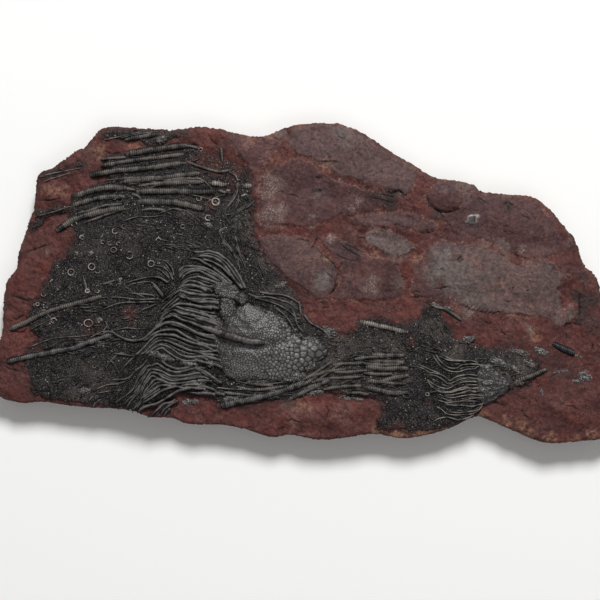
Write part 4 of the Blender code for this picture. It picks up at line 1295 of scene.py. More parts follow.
TIPS = [  # the same for the thin ends
    ("arcs", 0.8, 0.6, [[770,600, 800,680, 840,760, 900,810, 950,870, 1000,960, 1030,1040, 1070,1120],
        [860,730, 900,790, 960,860, 1020,930, 1080,1020, 1110,1100], [1020,660, 1030,740, 1020,820,
        1050,880, 1080,970, 1130,1050, 1150,1100], [1130,700, 1190,780], [770,600, 860,530],
        [640,660, 740,740], [190,625, 290,655], [1020,0, 970,90, 920,180, 870,240, 855,300, 850,350],
        [1050,50, 1040,130, 1000,220], [1150,235, 1070,280, 1000,330, 930,380],
        [1270,140, 1220,200, 1130,240]]),
    ("arcs", 1.2, 0.9, [[0,1010, 60,1060, 110,1130, 130,1210], [0,1050, 50,1120, 100,1200, 110,1260],
        [0,1160, 50,1220, 80,1290], [170,1400, 100,1450, 30,1530], [200,1440, 120,1500, 60,1568]]),
    ("crown", 1.35, 0.75, [[1215,520, 1180,570, 1120,610, 1085,640],
        [1230,560, 1180,620, 1120,670, 1085,710], [1240,600, 1190,640, 1130,690, 1090,730], [1190,490,
        1130,470, 1080,440, 1010,430, 930,440, 850,460, 790,480], [1100,580, 1060,530, 1010,480, 960,470,
        880,480, 820,490], [1110,600, 1080,570, 1040,520, 1000,495], [1050,590, 980,575, 920,570, 860,560,
        820,530, 780,510], [1050,610, 960,615, 880,615, 760,600, 640,595], [1050,640, 960,635, 880,640,
        780,640, 690,660, 600,700], [1040,655, 980,680, 930,700, 890,740], [1190,470, 1170,430, 1140,380,
        1090,345, 1040,335], [1180,450, 1160,400, 1130,360, 1080,330], [1190,430, 1180,380, 1150,320,
        1100,290, 1040,280], [1170,460, 1120,410, 1070,370, 1030,360]]),
    ("fold", 1.25, 0.6, [[690,490, 640,550, 560,610, 500,680, 460,730, 380,755, 300,765, 230,775],
        [620,420, 540,450, 480,500, 420,560, 380,620, 345,660], [690,540, 640,610, 590,680, 560,760,
        530,830, 480,880, 400,940, 310,990], [720,640, 660,700, 620,780, 590,850, 530,910, 470,960,
        400,1040, 340,1080], [640,800, 600,870, 540,930, 500,980, 450,1060], [620,880, 630,950, 600,1000,
        540,1070, 520,1120], [840,790, 760,840, 680,890, 640,940, 620,1000, 560,1080], [900,800, 820,850,
        740,900, 680,940, 620,990], [310,405, 400,415, 500,430, 560,430], [270,720, 350,715, 420,715,
        480,690, 520,650, 560,600], [0,970, 60,900], [30,1060, 90,990, 150,950]]),
    ("gap", 2.1, 1.6, [[830,515, 960,580, 1060,640, 1150,700, 1220,760, 1290,810],
        [1190,285, 1080,268, 960,250]]),
    ("close", 1.3, 0.9, [[950,385, 1010,405, 1080,405, 1150,425, 1200,440, 1250,480], [970,402, 1050,424,
        1130,450, 1200,490, 1255,540], [1000,370, 1080,385, 1160,392, 1230,420, 1290,470],
        [1190,440, 1230,500, 1250,570, 1290,620], [1290,510, 1330,560, 1400,600, 1450,650],
        [1120,470, 1180,520, 1220,580, 1240,620]])
]
SMALL_ARMS = [
    ("middle", 0.95, 0.75, [[1420,600, 1370,580, 1340,600, 1270,605, 1200,625, 1130,620, 1060,590,
        1010,530, 970,470], [1430,570, 1350,560, 1290,560, 1220,570, 1200,590, 1150,595, 1100,580,
        1040,530, 1000,470], [1400,560, 1320,530, 1240,530, 1170,530, 1100,520, 1040,490],
        [1300,560, 1230,530, 1150,520, 1060,480], [1440,660, 1370,660, 1310,650, 1240,655, 1180,670,
        1130,700, 1110,690, 1070,660, 1010,640, 930,630], [1440,700, 1380,690, 1300,680, 1220,690,
        1150,720, 1110,730, 1060,690, 1000,660, 930,650], [1450,730, 1400,720, 1330,710, 1240,715,
        1170,740, 1110,770, 1040,760, 980,730, 930,690], [1450,760, 1400,760, 1320,770, 1250,760,
        1180,780, 1110,800, 1030,790, 970,750, 930,700], [1450,790, 1400,790, 1330,800, 1280,775,
        1200,785, 1130,805, 1040,800, 960,750], [1480,835, 1430,835, 1380,830, 1310,825, 1230,835,
        1150,850, 1080,840], [1480,850, 1430,850, 1380,850, 1300,860, 1220,880, 1130,880, 1060,850],
        [1370,800, 1290,790, 1220,810, 1150,825, 1080,830], [1410,890, 1330,880, 1250,880, 1170,890,
        1090,890, 1020,870], [1440,900, 1380,910, 1310,925, 1230,915, 1150,915, 1080,900], [1420,880,
        1390,940, 1330,985, 1260,995, 1180,1000, 1100,990, 1050,950, 990,920], [1410,930, 1350,960,
        1290,970, 1200,980, 1110,970], [1370,980, 1310,1010, 1260,1030, 1190,1040, 1110,1020, 1030,1030,
        980,1060], [1040,640, 960,610, 920,590, 850,560], [960,640, 900,600, 840,580]])
]


def arm_lines(groups, seed, step_mm=0.8):
    """Each route of the groups as points in mm on the mat, with its radii."""
    draw = np.random.default_rng(seed)
    made = []
    for sheet, first, last, routes in groups:
        for route in routes:
            route = survey(sheet, route)
            count = max(6, int(length_of(route) / step_mm))
            flat = smooth_line(route, count)[draw.integers(0, 1 + min(7, count // 6)):]
            count = len(flat)
            share = np.linspace(0, 1, count)
            radii = (first + (last - first) * share) * draw.uniform(0.9, 1.1)
            radii = radii * np.minimum(1, 0.45 + 0.14 * np.arange(count)[::-1])
            lift = draw.uniform(-0.35, 0.75) + 0.45 * ripple(flat[:, 0], flat[:, 1], 9, seed + len(made))
            made.append((laid(flat, radii, 0.15, lift), radii))
    return made


def arms_between(lines, seed):
    """Lower, thinner arms half way between neighbours that run side by side."""
    draw = np.random.default_rng(seed)
    made = []
    for (first, thick), (second, _) in zip(lines[:-1], lines[1:]):
        ends = np.linalg.norm(first[[0, -1], :2] - second[[0, -1], :2], axis=1)
        if max(ends) < 14 and min(len(first), len(second)) > 20:
            share = np.linspace(0, 1, 60)
            a, b = (np.stack([np.interp(share, np.linspace(0, 1, len(p)), p[:, i]) for i in (0, 1)], axis=1)
                    for p in (first, second))
            radii = np.interp(share, np.linspace(0, 1, len(thick)), thick) * draw.uniform(0.55, 0.75)
            made.append((laid(a + (b - a) * draw.uniform(0.42, 0.58), radii, 0.5, -0.5), radii))
    return made


crown_arms = {}
for name, groups, seed, settings in (
        ("upper_arms", ARMS[:2], 501, {"Disc": 0.0021}), ("fold_arms", ARMS[2:], 502, {"Disc": 0.0021}),
        ("arm_tips", TIPS, 503, {"Disc": 0.0017, "Sides": 8}),
        ("small_arms", SMALL_ARMS, 504, {"Disc": 0.0016, "Sides": 8, "Material": strand_calcite})):
    lines = arm_lines(groups, seed)
    if name != "arm_tips":
        lines += arms_between(lines, seed + 50)
    crown_arms[name] = grown(
        name, routes_object(name, lines), column_tree,
        **{"Pinch": 0.10, "Samples": 3.0, "Sides": 10, "Wander": 0.00025, "Seed": float(seed),
           "Material": arm_calcite, **settings})

# %% [markdown]
# ## The stems
#
# The stems broke from their crowns and lie about as stiff, slightly bent rods. Their discs are
# about two millimetres thick. Each stem takes the place of one plain rod of the solid model,
# so its route and half width are the same as there.

# %% Grow the stems
STEMS = {  # name: (half width, route)
    "upper_stem_1": (3.8, [-178,129, -160,132, -142,135, -117,138]),
    "upper_stem_2": (2.6, [-204,118, -188,120, -169,123, -145,126, -120,129]),
    "upper_stem_3": (3.4, [-215,108, -189,112, -157,115, -124,120]),
    "upper_stem_4": (3.0, [-184,101, -154,104, -128,107, -104,110]),
    "upper_stem_5": (2.8, [-154,98, -128,100, -100,101]),
    "upper_stem_6": (3.9, [-228,87, -214,92, -198,95, -178,95]),
    "upper_stem_7": (3.5, [-168,91, -134,92, -112,91, -90,91]),
    "upper_stem_8": (3.9, [-166,81, -138,81, -118,78, -101,74]),
    "upper_stem_9": (3.0, [-233,77, -214,83, -196,86, -180,86]),
    "upper_stem_10": (3.8, [-248,52, -228,64, -202,71, -180,75]),
    "upper_stem_11": (2.7, [-180,144, -162,147, -145,149]),
    "short_stem_1": (3.2, [-96,100, -86,99, -77,98]),
    "short_stem_2": (3.0, [-65,97, -58,97, -52,98]),
    "left_stem_1": (3.0, [-294,-47, -278,-40, -253,-28, -228,-21, -202,-14]),
    "left_stem_2": (3.2, [-297,-79, -278,-75, -253,-70, -232,-66, -215,-60, -190,-51]),
    "lower_stem_1": (3.8, [-82,-123, -66,-119, -47,-115, -27,-110, -13,-105, 1,-99]),
    "lower_stem_2": (3.0, [-16,-117, 3,-108, 18,-101, 30,-94]),
    "middle_stem_1": (3.0, [56,-39, 69,-42, 86,-46, 104,-50]),
    "middle_stem_2": (3.1, [66,-73, 83,-73, 100,-73]),
    "middle_stem_3": (2.7, [70,-79, 84,-79, 100,-80]),
    "middle_stem_4": (3.2, [60,-83, 76,-86, 90,-86, 104,-86]),
    "middle_stem_5": (3.0, [62,-98, 76,-99, 91,-95, 104,-93]),
    "middle_stem_6": (3.3, [62,-105, 72,-107, 86,-110, 104,-110]),
    "right_stem_1": (2.4, [128,-23, 142,-27, 157,-37]),
    "right_stem_2": (3.0, [212,-98, 222,-95, 232,-91, 242,-87]),
    "right_stem_3": (3.4, [247,-61, 258,-66, 270,-71])
}
STEM_FINISHES = {
    **dict.fromkeys(["lower_stem_1", "lower_stem_2", "left_stem_2"], arm_calcite), "right_stem_3": stem_dark,
    **dict.fromkeys(["middle_stem_1", "short_stem_1", "short_stem_2"], stem_pale)}  # the others are weathered
stems = {}
for number, (node, (half_width, route)) in enumerate(STEMS.items()):
    route = np.array(route, float).reshape(-1, 2)
    flat = smooth_line(route, max(12, int(length_of(route) / 1.2)))
    share, from_start = np.linspace(0, 1, len(flat)), np.arange(len(flat))
    waves = [ripple(share * count, number * 3.1, 1, seed) for count, seed in ((5, 61), (30, 63))]
    radii = half_width * (1.12 + 0.1 * waves[0] + 0.08 * waves[1])
    radii *= np.minimum(1, 0.75 + 0.25 * np.minimum(from_start, from_start[::-1]) / 4)
    buried = -0.75 - 1.7 * (1 - step(share * length_of(flat), -1, 7))
    stems[node] = grown(
        node + "_discs", routes_object(node, [(laid(flat, radii, 0.5, buried), radii)]), column_tree,
        Disc=0.0021, Pinch=0.2, Roundness=1.6, Samples=4.0, Sides=12, Wander=0.0009, Seed=float(number),
        Material=STEM_FINISHES.get(node, stem_calcite))

# %% [markdown]
# ## The ray ridge and the small cup
#
# One thick ray lies across the large cup, standing clear of it over a dark gap. The small crown
# has a low cup of a few plates. Both are built with the functions used so far: a column on a
# raised route, and a patch of surface with thrown plate centres.

# %% Ray ridge
RAY = smooth_line(survey("cup", [90,445, 170,470, 260,505, 400,550, 560,590, 735,606]), 60)
ray_radii = np.interp(
    np.linspace(0, 1, len(RAY)), [0, 0.2, 0.4, 0.75, 0.95, 1.0], [2.4, 3.6, 4.4, 4.3, 3.7, 2.2])
ray_z = np.maximum(CUP_FOOT + cup_dome(*RAY.T), mat_floor(*RAY.T) + 1.2) + 0.1
ray_z = np.convolve(np.pad(ray_z, 7, mode="edge"), np.ones(15) / 15, mode="valid")
ray_points = np.column_stack([RAY, ray_z])
ray = grown("ray_ridge", routes_object("ray", [(ray_points, ray_radii)]), column_tree,
            Disc=0.0042, Pinch=0.035, Samples=6.0, Sides=18, Wander=0.0003, Seed=9.0, Material=ray_calcite)

# %% Small cup
SMALL_CUP_RING = survey("middle", [1385,560, 1430,545, 1490,575, 1530,620, 1590,660, 1640,700, 1655,740,
    1620,790, 1560,830, 1500,870, 1440,905, 1400,900, 1370,820, 1360,720, 1365,630])
small_centres = throw_centres(SMALL_CUP_RING, lambda x, y: np.full(len(x), 1.7), 3000, 51)
small_tree = tree_of(small_centres)


def small_cup_height(x, y):
    """A low dome with worn plates, whose ribs run together where the stem was."""
    near, following, _ = nearest_two(small_tree, x, y)
    seam = (following - near) / 2
    depth = depth_in(x, y, SMALL_CUP_RING) + 1.5 * rough(x, y, 6, 53, 4)
    dome = 2.6 * np.sqrt(np.maximum(0, 1 - (1 - np.clip((depth + 1) / 12, 0, 1)) ** 2))
    foot = survey("whole", (517, 386))[0]
    ribs = np.abs(np.sin(15 * np.arctan2(y - foot[1], x - foot[0]) + 1.2 * ripple(x, y, 7, 55)))
    ribbed = 0.5 * ribs * step(np.hypot(foot[0] - x, foot[1] - y), 8, 20)
    uneven = 0.9 * rough(x, y, 4.5, 59, 4, 0.6) + ribbed
    stand = 0.35 * step(seam, 0, 0.6)
    return mat_floor(x, y) - 0.6 + dome + uneven + stand - 2.5 * (1 - step(depth, -1.5, 0.5))


def small_cup_fields(x, y, z):
    """Half-filled seams, each plate's own tone, and painted shade toward the seams."""
    near, following, number = nearest_two(small_tree, x, y)
    seam = (following - near) / 2
    # The crest value falls toward each seam: painted shade round the plates
    return {"seam": 0.5 - 0.5 * step(seam, 0.05, 0.5), "shade": 0.05 + 0.4 * scatter_value(number, number, 5),
            "crest": 0.4 + 0.6 * step(seam, 0, 0.7)}


small_spots = spread(SMALL_CUP_RING.min(axis=0) - 3, SMALL_CUP_RING.max(axis=0) + 3, 0.55, 57, 0.2)
small_cup = patch(
    "small_cup_plates", small_spots, [], lambda x, y: depth_in(x, y, SMALL_CUP_RING) > -1.6,
    small_cup_height, BED - 1.0, small_cup_fields)
small_cup.data.materials.append(plates)

# %% [markdown]
# ## Heaps of rubble
#
# Where the arms leave the cup, and under the cup's edge, the skeleton fell apart into heaps of
# split plates. Farther off lie small clusters that broke fresh and pale. A heap is a patch of
# surface over an ellipse, cut into lumps that each stand at their own height.

# %% Heaps
HEAPS = [  # (middle in the whole survey, half length, half width, turn, lump, rise in mm, paleness)
    ((226, 290), 14, 9, -20, 2.0, 2.6, 0.15), ((227, 309), 8, 12, 0, 2.2, 2.8, 0.1),
    ((219, 334), 6, 15, 0, 2.0, 2.7, 0.15), ((222, 349), 6, 5, 10, 2.2, 2.4, 0.2),
    ((163, 357), 13, 4, -22, 1.7, 2.2, 0.25), ((189, 364), 11, 3.4, -12, 1.8, 2.2, 0.35),
    ((212, 364), 6, 3, -10, 2.0, 2.4, 0.3), ((198, 384), 8, 3, 4, 1.9, 1.8, 0.4),
    ((242, 300), 7, 6, -20, 1.7, 4.2, 0.15), ((291, 377), 14, 6, 10, 2.2, 2.6, 0.2),
    ((311, 365), 10, 5, 32, 2.4, 2.2, 0.1), ((262, 381), 20, 4, 0, 1.8, 2.0, 0.1),
    ((309, 340), 11, 4, -14, 3.4, 3.2, 0.0), ((300, 336), 4, 3, 0, 3.4, 4.6, 0.1),
    ((160, 139), 6, 5, 20, 1.9, 1.4, 0.8), ((469, 340), 9, 4, 10, 1.9, 1.2, 0.1),
    ((513, 368), 7, 2.4, -36, 2.6, 1.8, 1.0), ((498, 362), 9, 4, -20, 1.9, 1.2, 0.5),
    ((518, 383), 5, 3, 0, 1.8, 1.0, 0.3), ((584, 377), 8, 5, -20, 2.0, 0.8, 0.5),
    ((120, 281), 2, 3, 0, 2.4, 1.2, 0.9), ((90, 254), 3.5, 2.4, 40, 2.2, 1.0, 0.6),
    ((76, 253), 2.5, 2, 0, 2.0, 1.0, 0.6), ((99, 321), 4, 3.4, 20, 3.0, 1.8, 0.4),
    ((207, 225), 4.5, 3, -20, 2.2, 1.2, 0.5), ((218, 182), 3, 2, 0, 2.2, 1.6, 1.0),
    ((246, 186), 4, 2, 0, 2.2, 1.6, 0.9), ((228, 191), 3, 2, 20, 2.0, 1.2, 0.8),
    ((246, 195), 3, 2, 0, 2.0, 1.2, 0.9), ((580, 357), 5, 1.6, -20, 1.8, 0.5, 0.5),
    ((560, 372), 9, 1.6, 6, 1.6, 0.4, 0.45), ((577, 381), 7, 1.8, -8, 1.7, 0.4, 0.4),
    ((586, 372), 5, 1.6, 10, 1.6, 0.4, 0.7), ((540, 352), 8, 4, -20, 1.9, 0.8, 0.4),
    ((519, 352), 9, 3, -14, 1.9, 1.0, 0.5), ((436, 305), 6, 2.2, -24, 1.9, 1.2, 1.0),
    ((452, 313), 7, 2.2, -38, 1.9, 1.2, 1.0), ((541, 392), 5, 1.6, -60, 1.7, 0.5, 0.4),
    ((468, 339), 5, 2.6, -8, 2.6, 1.5, 0.9), ((529, 364), 6, 3, -30, 1.9, 1.0, 0.6),
    ((473, 219), 8, 5.5, 32, 40.0, 1.8, 1.0), ((280, 286), 5, 3, 20, 2.4, 1.4, 0.5),
    ((285, 283), 3, 2, 0, 2.2, 1.6, 0.8), ((330, 331), 8, 4, -25, 2.2, 1.2, 0.2),
    ((352, 398), 12, 2.6, -6, 2.0, 0.9, 0.7), ((315, 393), 12, 2.6, 6, 2.0, 0.9, 0.6),
    ((232, 399), 10, 3, 4, 2.0, 0.9, 0.5), ((190, 402), 9, 3, 4, 2.0, 0.8, 0.5),
    ((448, 309), 5, 2.6, -35, 2.0, 1.2, 0.8), ((84, 391), 8, 3, 10, 1.8, 0.6, 0.3)
]


ONE_PIECE = 20  # lumps wider than this, in mm, are a heap in one piece


def heap_depth(x, y):
    """Depth inside the nearest heap, and which one that is."""
    deepest, which = np.full(np.shape(x), -1e9), np.zeros(np.shape(x), int)
    fray = 1.3 * rough(x, y, 6, 701, 4)
    for i, (middle, long_half, wide_half, turn, _, _, _) in enumerate(HEAPS):
        (mx, my), angle = survey("whole", middle)[0], math.radians(turn)
        c, s = math.cos(angle), math.sin(angle)
        reach = np.hypot(((x - mx) * c + (y - my) * s) / long_half, ((y - my) * c - (x - mx) * s) / wide_half)
        depth = (1 - reach) * min(long_half, wide_half) + fray
        which = np.where(depth > deepest, i, which)
        deepest = np.maximum(deepest, depth)
    return deepest, which


def heap_lumps(x, y):
    """For each point: depth, rise, paleness, lump size, closeness to a seam and the lump's number."""
    depth, which = heap_depth(x, y)
    lump, rise, pale = (np.array([heap[i] for heap in HEAPS])[which] for i in (4, 5, 6))
    seam, number = np.zeros(x.shape), np.zeros(x.shape)
    for size in np.unique(lump):
        here = lump == size
        near, following, own = cells(x[here], y[here], size, 711)
        seam[here], number[here] = (following - near) * size / 2, own
    pale = np.where(lump > ONE_PIECE, pale * (1 - step(depth, 1.6, 2.6)), pale * number)
    return depth, rise, pale, lump, seam, number


def heap_height(x, y):
    """Lumps on the mat or the marl, sinking into it round the heap."""
    depth, rise, _, lump, seam, number = heap_lumps(x, y)
    ground = np.where(mat_depth(x, y) > 0, mat_floor(x, y), marl_height(x, y) - 0.3)
    stand = np.minimum(0.45 * lump, 1.6) * (0.2 + number) * step(seam, 0, 0.22 * np.minimum(lump, 4))
    return ground + rise * step(depth, -0.4, 2.2) + stand - 2.6 * (1 - step(depth, -1.0, 0.3))


def heap_fields(x, y, z):
    """Seams between the lumps, how pale each lump broke, and painted shade at the seams and round each heap.
    """
    depth, _, pale, lump, seam, number = heap_lumps(x, y)
    # The crest value falls at the seams and round the heap's border: painted shade
    return {"seam": 1 - step(seam, 0.03, 0.1 * np.minimum(lump, 4)), "shade": 0.8 * number, "pale": pale,
            "crest": step(seam, 0, 0.5) * step(depth, -1, 0.6)}


heap_spots = []
for i, (middle, long_half, wide_half, *_) in enumerate(HEAPS):
    centre, reach = survey("whole", middle)[0], 1.25 * max(long_half, wide_half) + 1.5
    spots = spread(centre - reach, centre + reach, 0.63, 721 + i, 0.2)
    depth, nearest = heap_depth(*spots.T)
    heap_spots.append(spots[(depth > -2.0) & (nearest == i)])
heap_spots = np.concatenate(heap_spots)
heaps = patch("rubble_heaps", heap_spots, [], lambda x, y: heap_depth(x, y)[0] > -0.9,
              heap_height, BED - 2.0, heap_fields)
heaps.data.materials.append(plates)

# %% [markdown]
# ## Loose rings and strands
#
# Broken stems leave their discs lying flat, and with the wide canal of this animal a flat disc
# is a ring. The rings were surveyed one by one, some of them only part of a ring. Thin side
# branches (pinnules) lie between everything else, combed in one direction wherever water ran
# over them, so they are thrown by groups, each with its own bearing.

# %% Rings and combed strands
RINGS = [  # (sheet, rings), each (across, down, radius in squares, its start and end in degrees)
    ("crown", [(340, 390, 26, 0, 360), (510, 345, 27, 0, 360), (690, 205, 24, 0, 360),
        (820, 250, 29, -150, 120), (1000, 320, 26, 0, 360), (560, 375, 24, 200, 350),
        (485, 810, 34, 0, 360), (475, 545, 17, 0, 360), (730, 155, 16, 20, 250), (660, 150, 18, 100, 330),
        (600, 140, 15, 0, 300), (430, 100, 20, 60, 300), (700, 50, 22, 90, 330), (115, 570, 22, 150, 350),
        (200, 790, 22, 0, 270), (120, 720, 18, 30, 230), (65, 655, 14, 0, 360), (940, 940, 10, 0, 360),
        (430, 100, 12, 0, 200), (555, 545, 18, 200, 400), (1060, 125, 20, 0, 190)]),
    ("arcs", [(720, 160, 48, 0, 360)]),
    ("upper", [(1265, 590, 26, 0, 360), (1160, 230, 14, 0, 360), (1215, 700, 20, 30, 300)]),
    ("middle", [(930, 820, 16, 0, 360)]),
    ("upper", [(300, 745, 18, 0, 220), (1040, 760, 14, 0, 360), (640, 760, 15, 40, 330)]),
    ("fold", [(120, 240, 22, 0, 300), (60, 560, 20, 90, 400)]),
    ("arcs", [(300, 330, 34, 0, 240), (480, 120, 36, 150, 420)])
]
STRANDS = [  # (sheet, radius in mm, routes): long thin arms that were surveyed
    ("upper", 0.55, [[1130,420, 1190,450, 1230,500, 1270,550], [1390,400, 1420,450, 1410,530, 1370,590,
        1330,640], [1330,680, 1390,670, 1440,630, 1520,590], [1150,640, 1200,600, 1260,560, 1330,540],
        [880,670, 950,640, 1010,645, 1070,680, 1120,720], [1290,800, 1330,770, 1320,740],
        [1340,370, 1400,400, 1410,470, 1390,560], [1080,540, 1180,560, 1290,600]]),
    ("stems", 0.65, [[1310,385, 1350,410, 1365,450, 1358,520, 1325,580, 1290,620, 1286,655],
        [1470,565, 1440,600, 1390,625, 1340,660], [1285,735, 1250,760, 1272,815, 1310,865, 1350,915,
        1375,945], [1350,790, 1365,850, 1385,900, 1410,940], [1100,425, 1150,440, 1190,480, 1225,510],
        [900,640, 960,618, 1030,630, 1090,665, 1130,700], [730,600, 740,650, 760,670],
        [1375,560, 1350,620, 1320,660], [640,700, 720,672, 820,668, 900,660]]),
    ("close", 0.7, [[780,10, 810,60, 850,110, 885,170, 905,240], [880,50, 895,110, 915,170, 940,230],
        [880,910, 990,930, 1100,925, 1200,915], [770,950, 880,960, 1000,955, 1120,965],
        [850,1010, 980,1000, 1110,990, 1230,960]]),
    ("whole", 0.6, [[38,176.5, 52,173, 66,170, 79,167.6], [120,137, 133,134, 146,132, 159,130.6],
        [44,181, 58,176, 70,172], [104,139, 122,135, 140,131], [36,216, 52,212, 70,206],
        [30,330, 46,322, 60,315], [431,305, 438,308, 446,310, 454,314, 461,320]]),
    ("crown", 0.6, [[0,1010, 120,960, 240,930, 400,920, 560,900], [700,870, 800,850, 900,860, 1000,850],
        [610,870, 640,830, 620,790], [690,900, 740,930, 820,950, 900,945], [500,930, 600,880, 680,880],
        [0,800, 100,740, 200,690], [90,690, 150,740, 200,800], [60,740, 110,700, 160,720],
        [600,600, 500,620, 380,640, 240,660], [640,595, 560,610, 480,640], [820,560, 880,570, 950,600],
        [630,1180, 680,1110, 740,1060, 800,1060], [640,1090, 700,1150, 740,1220],
        [560,1350, 640,1320, 740,1310, 820,1280], [560,1390, 660,1370, 760,1360]])
]
COMBED = [  # (middle, reach across and down, bearing in degrees, how many, length in mm)
    ((80, 305), (34, 7), 14, 34, 17), ((84, 345), (38, 8), 9, 40, 19), ((120, 318), (20, 12), 4, 26, 12),
    ((60, 378), (24, 14), 22, 22, 12), ((112, 388), (18, 14), 42, 30, 13),
    ((185, 246), (26, 6), -9, 34, 17), ((140, 228), (34, 9), -6, 26, 12),
    ((195, 215), (30, 12), -20, 30, 11), ((235, 235), (12, 28), -58, 40, 13),
    ((262, 272), (12, 16), -52, 32, 12), ((150, 168), (52, 20), 6, 60, 15),
    ((110, 192), (28, 10), 17, 34, 14), ((70, 222), (16, 10), 20, 16, 10),
    ((322, 384), (26, 7), 22, 70, 17), ((275, 394), (30, 6), 4, 60, 18),
    ((305, 318), (26, 8), -24, 44, 12), ((330, 342), (14, 8), -10, 30, 9),
    ((378, 362), (30, 16), 2, 60, 14), ((378, 390), (30, 8), 3, 40, 15),
    ((352, 366), (12, 14), 6, 40, 10), ((500, 370), (28, 10), 8, 46, 12),
    ((440, 328), (14, 12), -50, 24, 11), ((470, 392), (16, 8), 20, 24, 10),
    ((226, 300), (6, 16), -40, 26, 7), ((430, 350), (16, 5), -22, 20, 9),
    ((180, 370), (20, 16), 8, 24, 9), ((200, 330), (12, 24), -8, 22, 9)
]
draw = np.random.default_rng(601)
ring_lines, strand_lines, combed_lines = [], [], []
for sheet, rings in RINGS:
    for across, down, radius, start, end in rings:
        centre, size = survey(sheet, (across, down))[0], radius / SHEETS[sheet][2]
        turn = np.radians(np.linspace(start, end, 26))
        flat = centre + size * np.stack([np.cos(turn), draw.uniform(0.84, 1.0) * np.sin(turn)], axis=1)
        radii = np.full(len(flat), draw.uniform(0.42, 0.55))
        slope = draw.uniform(-0.12, 0.12, 2)
        ring_lines.append((laid(flat, radii, 0.0, 0.75 + (flat - centre) @ slope), radii))
for sheet, radius, routes in STRANDS:
    for route in routes:
        flat = survey(sheet, route)
        flat = smooth_line(flat, max(8, int(length_of(flat) / 1.0)))
        radii = radius * (1.15 - 0.45 * np.linspace(0, 1, len(flat)))
        strand_lines.append((laid(flat, radii, 0.0, 0.55), radii))
for middle, reach, bearing, count, length in COMBED:
    middle = survey("whole", middle)[0]
    for _ in range(count):
        start = middle + draw.normal(0, 0.55, 2) * reach
        angle = math.radians(bearing + draw.normal(0, 11))
        bend = draw.normal(0, 0.35)
        run = length * draw.uniform(0.35, 1.15)
        turn = angle + bend * np.linspace(-1, 1, 12)
        hop = np.stack([np.cos(turn), np.sin(turn)], axis=1) * run / 12
        flat = start + np.cumsum(hop, axis=0) - hop.sum(axis=0) / 2
        if ((mat_depth(*flat.T) > 0.5) & (depth_in(*flat.T, OUTER) > 3.5)).all():
            radii = draw.uniform(0.25, 0.8) * np.interp(np.arange(12), [0, 2, 8, 11], [0.5, 1, 1, 0.35])
            combed_lines.append((laid(flat, radii, 0.1, draw.uniform(-0.1, 0.7)), radii))

COLUMNS = [  # (sheet, radius in mm, routes): broken lengths of stem, and stems half hidden by others
    ("cup", 1.7, [[1085,170, 1098,240, 1110,310]]),
    ("upper", 1.9, [[1300,215, 1304,260, 1310,315]]),
    ("crown", 1.7, [[440,425, 458,490, 478,560], [600,492, 650,476, 700,458]]),
    ("upper", 2.1, [[1235,450, 1280,462, 1330,470], [1435,472, 1470,478, 1505,482]]),
    ("fold", 1.4, [[30,470, 70,440, 110,430]]),
    ("whole", 1.7, [[431,305, 446,310, 461,320]]),
    ("stems", 1.9, [[540,436, 700,424, 850,418, 1000,408, 1070,404], [500,304, 580,297, 660,292],
        [930,240, 1000,228, 1060,222, 1130,240], [740,474, 860,458, 1000,440, 1140,452],
        [400,706, 500,672, 600,634, 664,618], [830,352, 930,338, 1040,330],
        [360,646, 440,628, 520,600, 640,588], [1040,318, 1150,360, 1250,384, 1330,372],
        [700,524, 740,540, 760,560], [760,626, 840,620, 920,630], [1240,500, 1300,520],
        [560,480, 640,486, 720,500], [900,440, 1010,428, 1120,430]]),
    ("tail", 2.3, [[286,360, 360,352, 450,348], [170,392, 250,384, 340,386], [60,452, 150,424, 240,414],
        [60,482, 150,462, 240,458, 330,452], [120,520, 220,504, 320,500], [400,478, 480,488, 556,492],
        [330,434, 420,440, 480,438], [180,430, 260,428, 350,420], [20,520, 80,496, 130,486],
        [240,540, 300,536, 360,546], [300,378, 400,392, 520,388]]),
    ("cup", 2.2, [[430,1060, 560,1090, 700,1092, 860,1070, 1000,1050], [860,1110, 1000,1090, 1150,1030,
        1280,950], [300,1120, 420,1140, 560,1150, 700,1160], [1120,990, 1230,940, 1340,860, 1430,800],
        [1250,1010, 1350,950, 1440,880, 1520,820], [560,1030, 700,1040, 820,1050]])
]
# %% Broken columns, and everything swept
column_lines = []
for sheet, radius, routes in COLUMNS:
    for route in routes:
        flat = smooth_line(survey(sheet, route), 26)
        radii = radius * np.interp(np.arange(26), [0, 4, 21, 25], [0.6, 1, 1, 0.6])
        column_lines.append((laid(flat, radii, 0.5, 0.3 * draw.random()), radii))
columns = grown("broken_columns", routes_object("columns", column_lines), column_tree, Disc=0.0019, Pinch=0.2,
                Roundness=1.6, Samples=4.0, Sides=10, Wander=0.0009, Seed=6.0, Material=stem_calcite)
rings = grown("loose_rings", routes_object("rings", ring_lines), column_tree, Disc=0.0009, Pinch=0.0,
              Samples=1.0, Sides=8, Wander=0.0003, Seed=3.0, Material=crumb_pale)
strands = grown("loose_strands", routes_object("strands", strand_lines), column_tree, Disc=0.0018,
                Pinch=0.12, Samples=2.0, Sides=6, Wander=0.0005, Seed=4.0, Material=strand_calcite)
combed = grown("combed_pinnules", routes_object("combed", combed_lines), column_tree, Disc=0.0016,
               Pinch=0.10, Samples=1.0, Sides=6, Wander=0.0009, Seed=5.0, Material=crumb_calcite)
print("rings:", len(ring_lines), "strands:", len(strand_lines), "combed:", len(combed_lines))

# %% [markdown]
# ## Debris strewn on the mat
#
# The rest of the mat is crumbs: bits of arm a few millimetres long, split plates and grains.
# A second tree throws points on the mat's own mesh where its field litter is high, and puts
# one of four small fragments on each, turned and scaled at random from a fixed seed.

